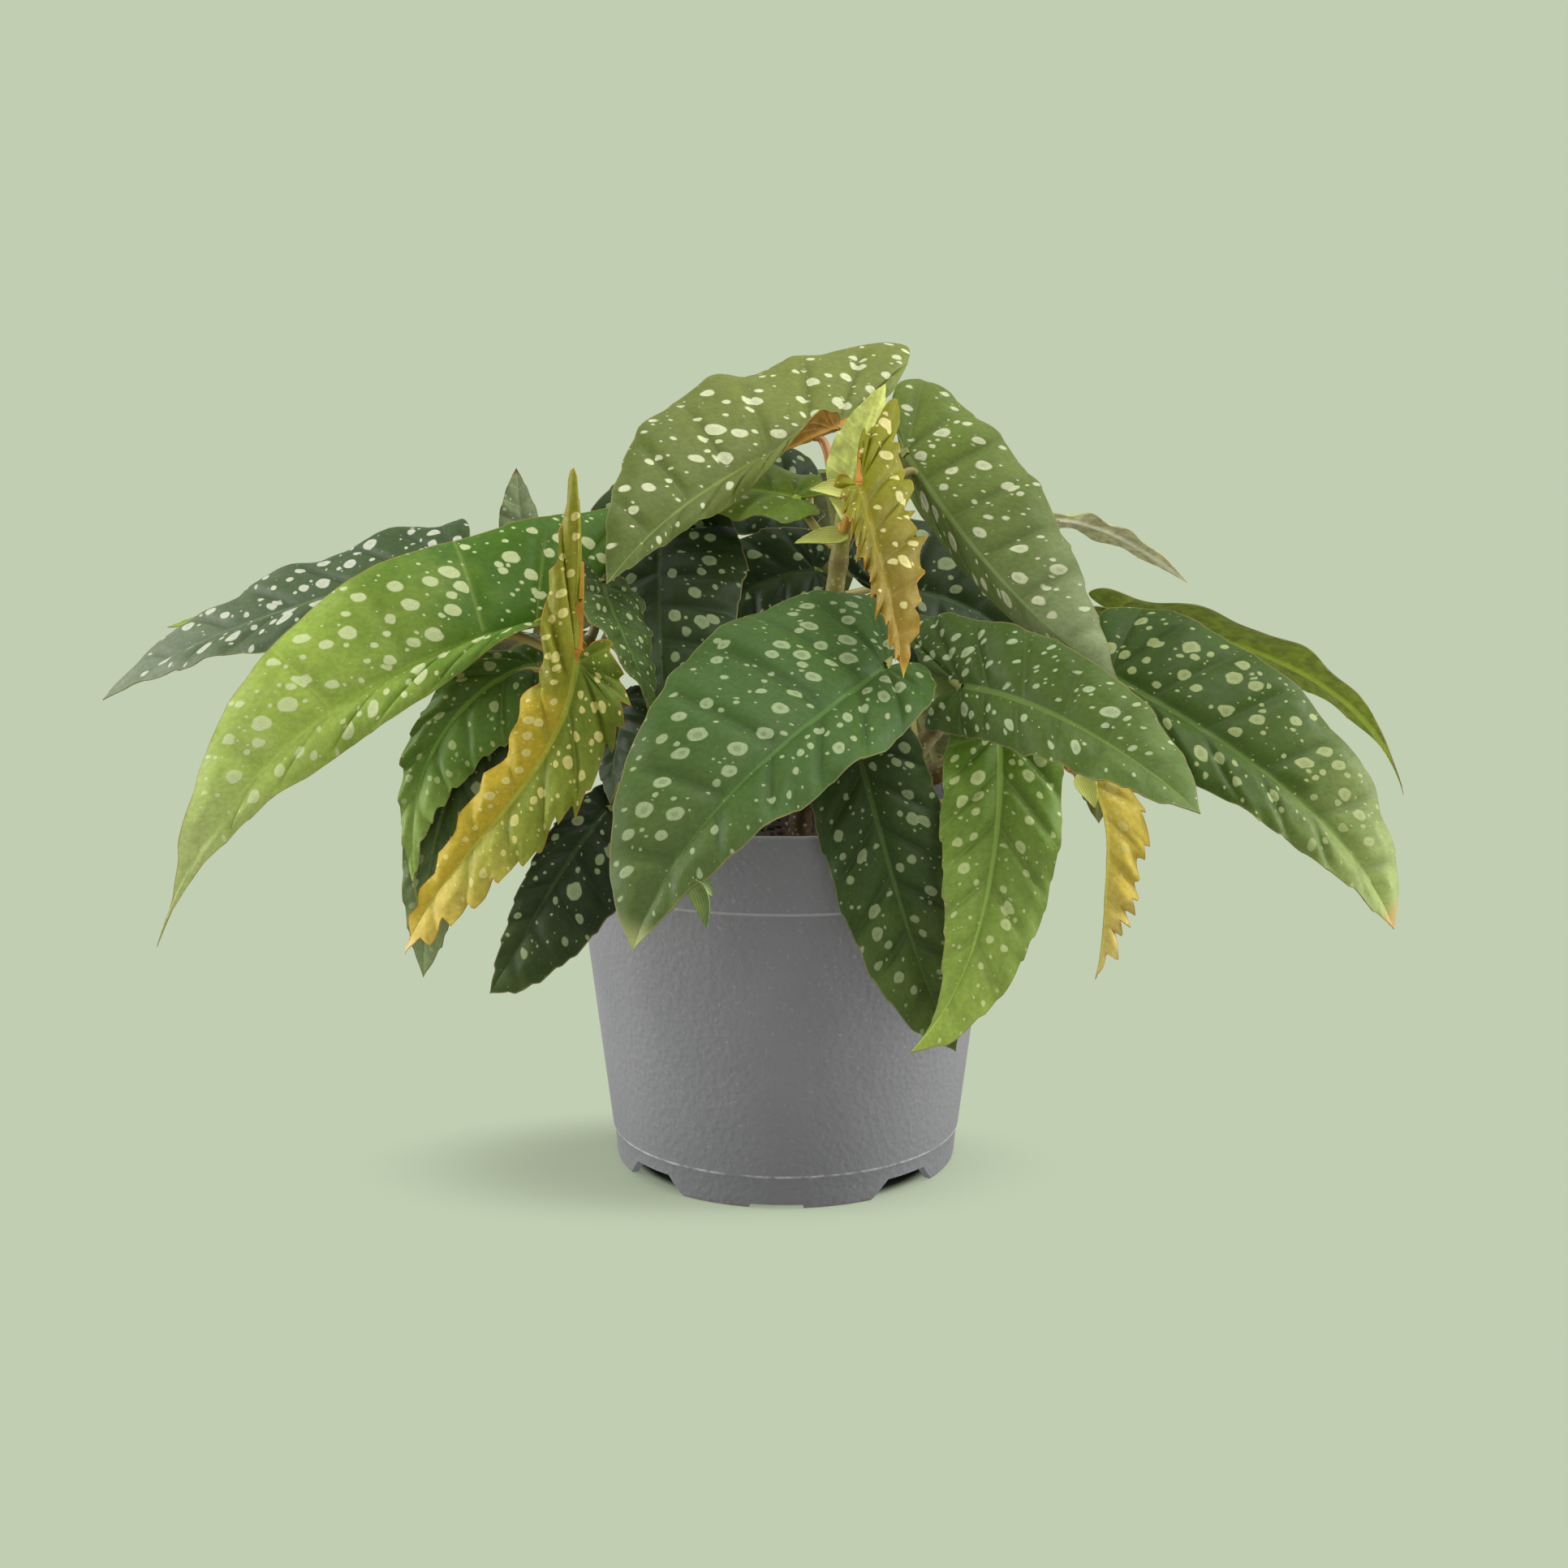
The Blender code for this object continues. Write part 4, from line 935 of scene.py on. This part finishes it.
def make_leaf(leaf, number, spots):
    """One leaf: blade, margin and stalk in one closed-up piece that stands for its node."""
    draw = np.random.default_rng(100 + number)
    look = replace(TONES[leaf.tone], **OWN_LOOKS.get(leaf.name, {}))
    grid, at = blade_grid(leaf, look, draw)
    normal = grid_normals(grid)
    x, y, edge, vein = at["x"], at["y"], at["edge"], at["vein"]
    share = np.clip(x / leaf.length, 0, 1)
    thick = MARGIN_THICKNESS + (BLADE_THICKNESS - MARGIN_THICKNESS) * np.clip(edge / 3, 0, 1)
    # The midrib stands out under the blade and is a shallow groove on it; side veins stand out a little too.
    rib = np.exp(-((y / 0.95) ** 2)) * (1 - 0.8 * share) * np.clip((1 - share) / 0.1, 0, 1)
    ridge = VEIN_DEPTH * np.exp(-((vein / 0.5) ** 2)) * np.clip(np.abs(y) / 2, 0, 1)
    upper = grid + normal * (thick / 2 - RIB_GROOVE * rib)[..., None]
    lower = grid - normal * (thick / 2 + RIB_DEPTH * rib + ridge)[..., None]
    place = np.stack([x - look.slant * np.abs(y) + 61 * number, y, at["v"]], -1)
    shape = Shape()
    slots = (0, 0 if look.spotted_below else 1)
    shape.add_sheet(upper, lower, slots, place, np.stack([edge, vein, share], -1))
    line = stalk_line(leaf)
    run = np.linspace(0, 1, len(line))
    points, faces = tube(line, STALK_RADIUS * np.interp(run, *STALK_TAPER), STALK_SIDES)
    length = np.cumsum(np.r_[0, np.linalg.norm(np.diff(line, axis=0), axis=1)])
    length, run = np.repeat(length, STALK_SIDES), np.repeat(run, STALK_SIDES)
    around = np.tile(np.arange(STALK_SIDES) * 0.5, len(line))
    shape.add(points, faces, 2, np.stack([around, 0.12 * length, 0 * run + number], -1),
              np.stack([0 * run, 0 * run, run], -1))
    foot, head = STALK_TINTS.get(leaf.name, STALK_TINTS[leaf.tone])
    materials = [upper_material(leaf, look, spots), under_material(leaf, look),
                 stalk_material(leaf.name + "_stalk", foot, head)]
    piece = shape.build("fine_" + leaf.name, materials)
    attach(piece, "root")
    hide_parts(leaf.name)


def make_cane(cane, material):
    """A stem with a swollen joint and a ring scar where each leaf grew."""
    points, radii = cane_line(cane)
    points = smooth_path(points, 90)
    share = np.linspace(0, 1, len(points))
    radii = np.interp(share, np.linspace(0, 1, len(radii)), radii)
    joints = np.arange(1, 8) / JOINTS
    away = np.abs(share[:, None] - joints[None]).min(axis=1) * JOINTS
    swell = np.exp(-((away / 0.12) ** 2))
    radii = radii * (1 + 0.13 * swell - 0.05 * np.exp(-(((away - 0.2) / 0.05) ** 2)))
    radii[-4:] *= [0.95, 0.8, 0.55, 0.2]
    around, faces = tube(points, radii, CANE_SIDES)
    swell, share = np.repeat(swell, CANE_SIDES), np.repeat(share, CANE_SIDES)
    shape = Shape()
    shape.add(around, faces, 0, around, np.stack([swell, swell, share], -1))
    piece = shape.build("fine_" + cane.name, [material])
    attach(piece, "root")
    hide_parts(cane.name)


def polar(radius, degrees, z):
    angle = math.radians(degrees)
    return radius * math.sin(angle), -radius * math.cos(angle), z


def placed(x, y, z):
    """A place from the pot's axis in millimetres, as a place in the scene."""
    return (x + POT_AXIS[0]) * MM, (y + POT_AXIS[1]) * MM, z * MM


def mesh_object(name, made):
    mesh = bpy.data.meshes.new(name)
    made.to_mesh(mesh)
    made.free()
    return add_object(name, mesh)


def wedge_cutter(name, angle, half_angles, top):
    """A block that cuts one notch through the foot ring. Its half angles are those at its top and foot."""
    inner, outer, below = FOOT_RADIUS - 9, FOOT_RADIUS + 4, -2.0
    made = bmesh.new()
    bmesh.ops.create_cube(made, size=1)
    for vert in made.verts:
        upper = vert.co.z > 0
        half = half_angles[0] if upper else half_angles[1]
        turn = angle + (half if vert.co.x > 0 else -half)
        radius = outer if vert.co.y < 0 else inner
        vert.co = placed(*polar(radius, turn, top if upper else below))
    return mesh_object(name, made)


def drain_cutter(name, x, y):
    """A rod that cuts one drain hole through the floor."""
    made = bmesh.new()
    bmesh.ops.create_cone(made, cap_ends=True, segments=28, radius1=DRAIN_RADIUS * MM,
                          radius2=DRAIN_RADIUS * MM, depth=(FLOOR_THICKNESS + 2) * MM)
    place = placed(x, y, RECESS + FLOOR_THICKNESS / 2)
    bmesh.ops.translate(made, verts=made.verts, vec=Vector(place))
    return mesh_object(name, made)


def make_pot(material):
    """The pot with a rounded lip and band, its notches and drain holes cut as in the solid."""
    # Each corner of the section, down the outer side first, with the points that round it off.
    corners = (
        (RIM_RADIUS, POT_HEIGHT, ((-0.62, 0), (-0.4, -0.03), (-0.15, -0.14), (-0.02, -0.36), (0, -0.7))),
        (RIM_RADIUS, BAND_FOOT, ((0, 0.35), (-0.1, 0.08), (-0.3, -0.04))),
        (BODY_TOP, BAND_FOOT, ((0.12, -0.2), (0, -0.5))),
        (FOOT_TOP, FOOT_HEIGHT, ((FOOT_STEP, 0), (0.15, -0.12), (0, -0.35))),
        (FOOT_RADIUS, 0, ((0, 1.0), (-0.12, 0.45), (-0.4, 0.1), (-0.8, 0))),
        (FOOT_RADIUS - FOOT_RING_WIDTH, 0, ((0.2, 0), (0, 0.2), (0, RECESS))),
        (0, 0, ((0, RECESS), (0, FLOOR_TOP), (FOOT_TOP - WALL, FLOOR_TOP))),
        (BODY_TOP - WALL, BAND_FOOT, ((0, -0.5),)),
        (RIM_RADIUS - WALL, BAND_FOOT, ((0, 0.6),)),
        (RIM_RADIUS - WALL, POT_HEIGHT, ((0, -0.5), (0.2, -0.1))),
    )
    profile = [(radius + out, z + up) for radius, z, points in corners for out, up in points]
    made = bmesh.new()
    rings = []
    for radius, z in profile:
        ring = [polar(radius, 360 * k / POT_SIDES, z) for k in range(POT_SIDES if radius else 1)]
        rings.append([made.verts.new(placed(*point)) for point in ring])
    for first, second in zip(rings, rings[1:] + rings[:1]):
        for k in range(POT_SIDES):
            # On the axis a ring is one point, so the face there is a triangle.
            corners = ((first, k), (second, k), (second, k + 1), (first, k + 1))
            face = list(dict.fromkeys(ring[j % len(ring)] for ring, j in corners))
            if len(face) > 2:
                made.faces.new(face)
    bmesh.ops.recalc_face_normals(made, faces=made.faces)
    pot = mesh_object("fine_pot", made)
    cutters = []
    for k in range(4):
        angle = POT_TURN + 45 + 90 * k
        cutters.append(wedge_cutter(f"notch_{k}", angle, NOTCH_HALF_ANGLES, NOTCH_HEIGHT))
        cutters.append(wedge_cutter(f"scallop_{k}", angle - 45, SCALLOP_HALF_ANGLES, SCALLOP_HEIGHT))
        for name, turn in (("drain", angle), ("drain_side", angle - 45)):
            cutters.append(drain_cutter(f"{name}_{k}", *polar(DRAIN_CIRCLE, turn, 0)[:2]))
    cutters.append(drain_cutter("drain_middle", 0, 0))
    for cutter in cutters:
        modifier = pot.modifiers.new(cutter.name, "BOOLEAN")
        modifier.operation, modifier.object = "DIFFERENCE", cutter
    bpy.context.view_layer.update()
    mesh = bpy.data.meshes.new_from_object(pot.evaluated_get(bpy.context.evaluated_depsgraph_get()))
    pot.modifiers.clear()
    pot.data = mesh
    for cutter in cutters:
        bpy.data.objects.remove(cutter, do_unlink=True)
    mesh.materials.clear()
    mesh.materials.append(material)
    mesh.shade_smooth()
    mesh.set_sharp_from_angle(angle=math.radians(POT_SHARP_ANGLE))
    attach(pot, "root")
    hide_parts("pot")


def soil_height(x, y):
    """The uneven top of the soil, a little lower against the wall."""
    lumps = 1.1 * math.sin(0.13 * x + 1.0) * math.cos(0.11 * y - 0.6) + 0.7 * math.sin(0.23 * x - 0.19 * y)
    return SOIL_TOP + lumps - 1.5 * (math.hypot(x, y) / RIM_RADIUS) ** 4


def make_soil(peat, crumbs):
    """Peat down to the pot's floor, with a rough top and loose crumbs lying on it."""
    low, edge = FLOOR_TOP + GAP, RIM_RADIUS - WALL - GAP - 0.2
    below = ((0.01, low), (FOOT_TOP - WALL - GAP, low), (BODY_TOP - WALL - GAP, BAND_FOOT - 0.5))
    rings = [[polar(radius, 360 * k / SOIL_SIDES, z) for k in range(SOIL_SIDES)] for radius, z in below]
    for step in range(SOIL_RINGS):
        ring = []
        for k in range(SOIL_SIDES):
            x, y, _ = polar(edge * (1 - step / SOIL_RINGS), 360 * k / SOIL_SIDES, 0)
            rough = noise.fractal(Vector((x, y, 0)) * 0.35, 0.9, 2.2, 4)
            ring.append((x, y, soil_height(x, y) + SOIL_ROUGHNESS * rough))
        rings.append(ring)
    rings.append([(0.0, 0.0, soil_height(0, 0))] * SOIL_SIDES)
    shape = Shape()
    shape.add(rings, grid_faces(len(rings), SOIL_SIDES, closed=True), 0)
    draw = np.random.default_rng(7)
    lump = bmesh.new()
    bmesh.ops.create_icosphere(lump, subdivisions=1, radius=1)
    ball = np.array([vert.co for vert in lump.verts])
    faces = [tuple(vert.index for vert in face.verts) for face in lump.faces]
    lump.free()
    for _ in range(CRUMBS):
        radius = (edge - 2) * math.sqrt(draw.uniform(0, 1))
        x, y, _ = polar(radius, draw.uniform(0, 360), 0)
        size = draw.uniform(0.35, 1.3) ** 1.4
        turn = np.linalg.qr(draw.normal(size=(3, 3)))[0]
        stretch = np.array([draw.uniform(0.8, 1.7), draw.uniform(0.6, 1.0), draw.uniform(0.5, 0.9)])
        points = ball * draw.uniform(0.75, 1.2, (len(ball), 1)) * stretch * size @ turn
        points[:, 2] = np.minimum(points[:, 2], 1.6)
        slot = 1 if draw.uniform() < PALE_CRUMBS else 0
        shape.add(points + (x, y, soil_height(x, y) + 0.35 * size), faces, slot)
    piece = shape.build("fine_soil", [peat, crumbs], sharp_angle=SOIL_SHARP_ANGLE)
    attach(piece, "root")
    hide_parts("soil")


def add_sheath(shape, slot, base, bearing, pitch, roll, length, width):
    """A small pointed sheath, cupped across, bent along its length and rolled about it."""
    s = np.linspace(0, 1, SHEATH_ROWS)
    pitches = np.radians(pitch - SHEATH_BEND * s)
    forward, left, up = headings(math.radians(bearing) + 0 * s, pitches, math.radians(roll))
    steps = forward[:-1] * length / (SHEATH_ROWS - 1)
    line = np.array(base, float) + np.vstack([np.zeros(3), np.cumsum(steps, axis=0)])
    half = width / 2 * np.sin(math.pi * np.clip(s, 0.02, 1) ** 0.62) ** 0.8 * (1 - 0.25 * s)
    half[-1] = 0.02
    half = half[:, None] / math.sin(SHEATH_CUP)
    angle = SHEATH_CUP * np.linspace(1, -1, SHEATH_COLUMNS)[None]
    out, rise = half * np.sin(angle), half * (1 - np.cos(angle))
    grid = line[:, None] + left[:, None] * out[..., None] + up[:, None] * rise[..., None]
    side = grid_normals(grid) * SHEATH_HALF_THICKNESS
    place = np.stack([s[:, None] * length + 0 * out, out, 0 * out], -1)
    shape.add_sheet(grid + side, grid - side, (slot, slot), place, 0 * place)


def make_sheaths(fresh, old):
    shape = Shape()
    for *form, slot in SHEATHS:
        add_sheath(shape, slot, *form)
    piece = shape.build("sheaths", [fresh, old])
    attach(piece, "root")


def floor_material():
    """The floor's own colour, and a matt part that takes the soft shadow, with painted shade under the pot.
    """
    material, graph = new_material("floor")
    nodes = material.node_tree.nodes
    nodes.remove(nodes["Principled BSDF"])
    where = graph.node("TexCoord").outputs["Object"]

    def distance(middle, stretch):
        shifted = graph.vector("SUBTRACT", where, middle)
        return graph.vector("LENGTH", graph.vector("MULTIPLY", shifted, stretch))

    under = graph.step(distance(placed(0, 0, 0), (1.0, 1.0, 1.0)), *SHADOW_UNDER)
    near = graph.step(distance(SHADOW_MIDDLE, (1.0, SHADOW_NARROW, 1.0)), *SHADOW_REACH, FLOOR_SHARE, 0.0)
    # Painted shade: under the pot the matt colour drops from the first share of the background to the second.
    light, dark = ((*(c * share for c in linear(BACKGROUND)[:3]), 1) for share in FLOOR_MATT_AND_UNDER_POT_SHADE)
    glow = graph.node("Emission", {"Color": BACKGROUND, "Strength": FLOOR_GLOW}).outputs[0]
    matt = graph.node("BsdfDiffuse", {"Color": graph.mix(under, light, dark)}).outputs[0]
    both = graph.node("MixShader", {"Fac": graph.math("MAXIMUM", near, under), 1: glow, 2: matt})
    graph.put(nodes["Material Output"].inputs["Surface"], both.outputs[0])
    return material


def make_stage():
    """A floor that turns up into a wall all round, so that every view has the same background."""
    profile = [(0.02, 0.0), (0.4, 0.0), (0.9, 0.0), (FLOOR_FLAT, 0.0)]
    profile += [(FLOOR_FLAT + FLOOR_BEND * math.sin(a), FLOOR_BEND - FLOOR_BEND * math.cos(a))
                for a in np.linspace(0.1, math.pi / 2, 14)]
    profile.append((FLOOR_FLAT + FLOOR_BEND, WALL_TOP))
    points = [(r * math.cos(t), r * math.sin(t), z) for r, z in profile
              for t in np.linspace(0, 2 * math.pi, FLOOR_SIDES, endpoint=False)]
    faces = flipped(grid_faces(len(profile), FLOOR_SIDES, closed=True))
    faces.append(tuple(range(FLOOR_SIDES)))
    mesh = bpy.data.meshes.new("floor")
    mesh.from_pydata(points, [], faces)
    mesh.shade_smooth()
    mesh.materials.append(floor_material())
    floor = add_object("floor", mesh)
    floor.visible_diffuse = floor.visible_glossy = floor.visible_transmission = floor.visible_shadow = False


def make_light():
    world = bpy.data.worlds.new("studio")
    world.use_nodes = True
    shade = world.node_tree.nodes["Background"]
    shade.inputs["Color"].default_value = (1.0, 1.0, 0.98, 1)
    shade.inputs["Strength"].default_value = WORLD_LIGHT
    bpy.context.scene.world = world
    for name, place, size, power in LIGHTS:
        data = bpy.data.lights.new(name, "AREA")
        data.shape, data.size, data.size_y, data.energy = "RECTANGLE", *size, power
        light = add_object(name, data)
        light.location = place
        light.rotation_euler = (LIGHT_AIM - Vector(place)).to_track_quat("-Z", "Y").to_euler()
        light.visible_camera = False


def make_camera():
    data = bpy.data.cameras.new("camera")
    data.lens, data.sensor_width = CAMERA_LENS, 36.0
    data.clip_start, data.clip_end = 0.02, 20
    camera = add_object("camera", data)
    camera.location = CAMERA_PLACE
    camera.rotation_euler = (math.pi / 2 - CAMERA_TIP, 0, 0)
    bpy.context.scene.camera = camera


def main():
    view = bpy.context.scene.view_settings
    view.view_transform, view.look = "Standard", "None"
    make_camera()
    make_stage()
    make_light()
    make_pot(pot_material())
    make_soil(soil_material("peat", (22, 17, 12), (48, 36, 25), 420.0),
              soil_material("pale_crumbs", (150, 140, 120), (190, 182, 166), 600.0))
    bark = cane_material()
    for cane in CANES:
        make_cane(cane, bark)
    spots = spot_group()
    for number, leaf in enumerate(LEAVES):
        make_leaf(leaf, number, spots)
    make_sheaths(sheath_material("fresh_sheath", (176, 188, 80), (196, 202, 104)),
                 sheath_material("old_sheath", (78, 100, 38), (104, 124, 52)))


main()
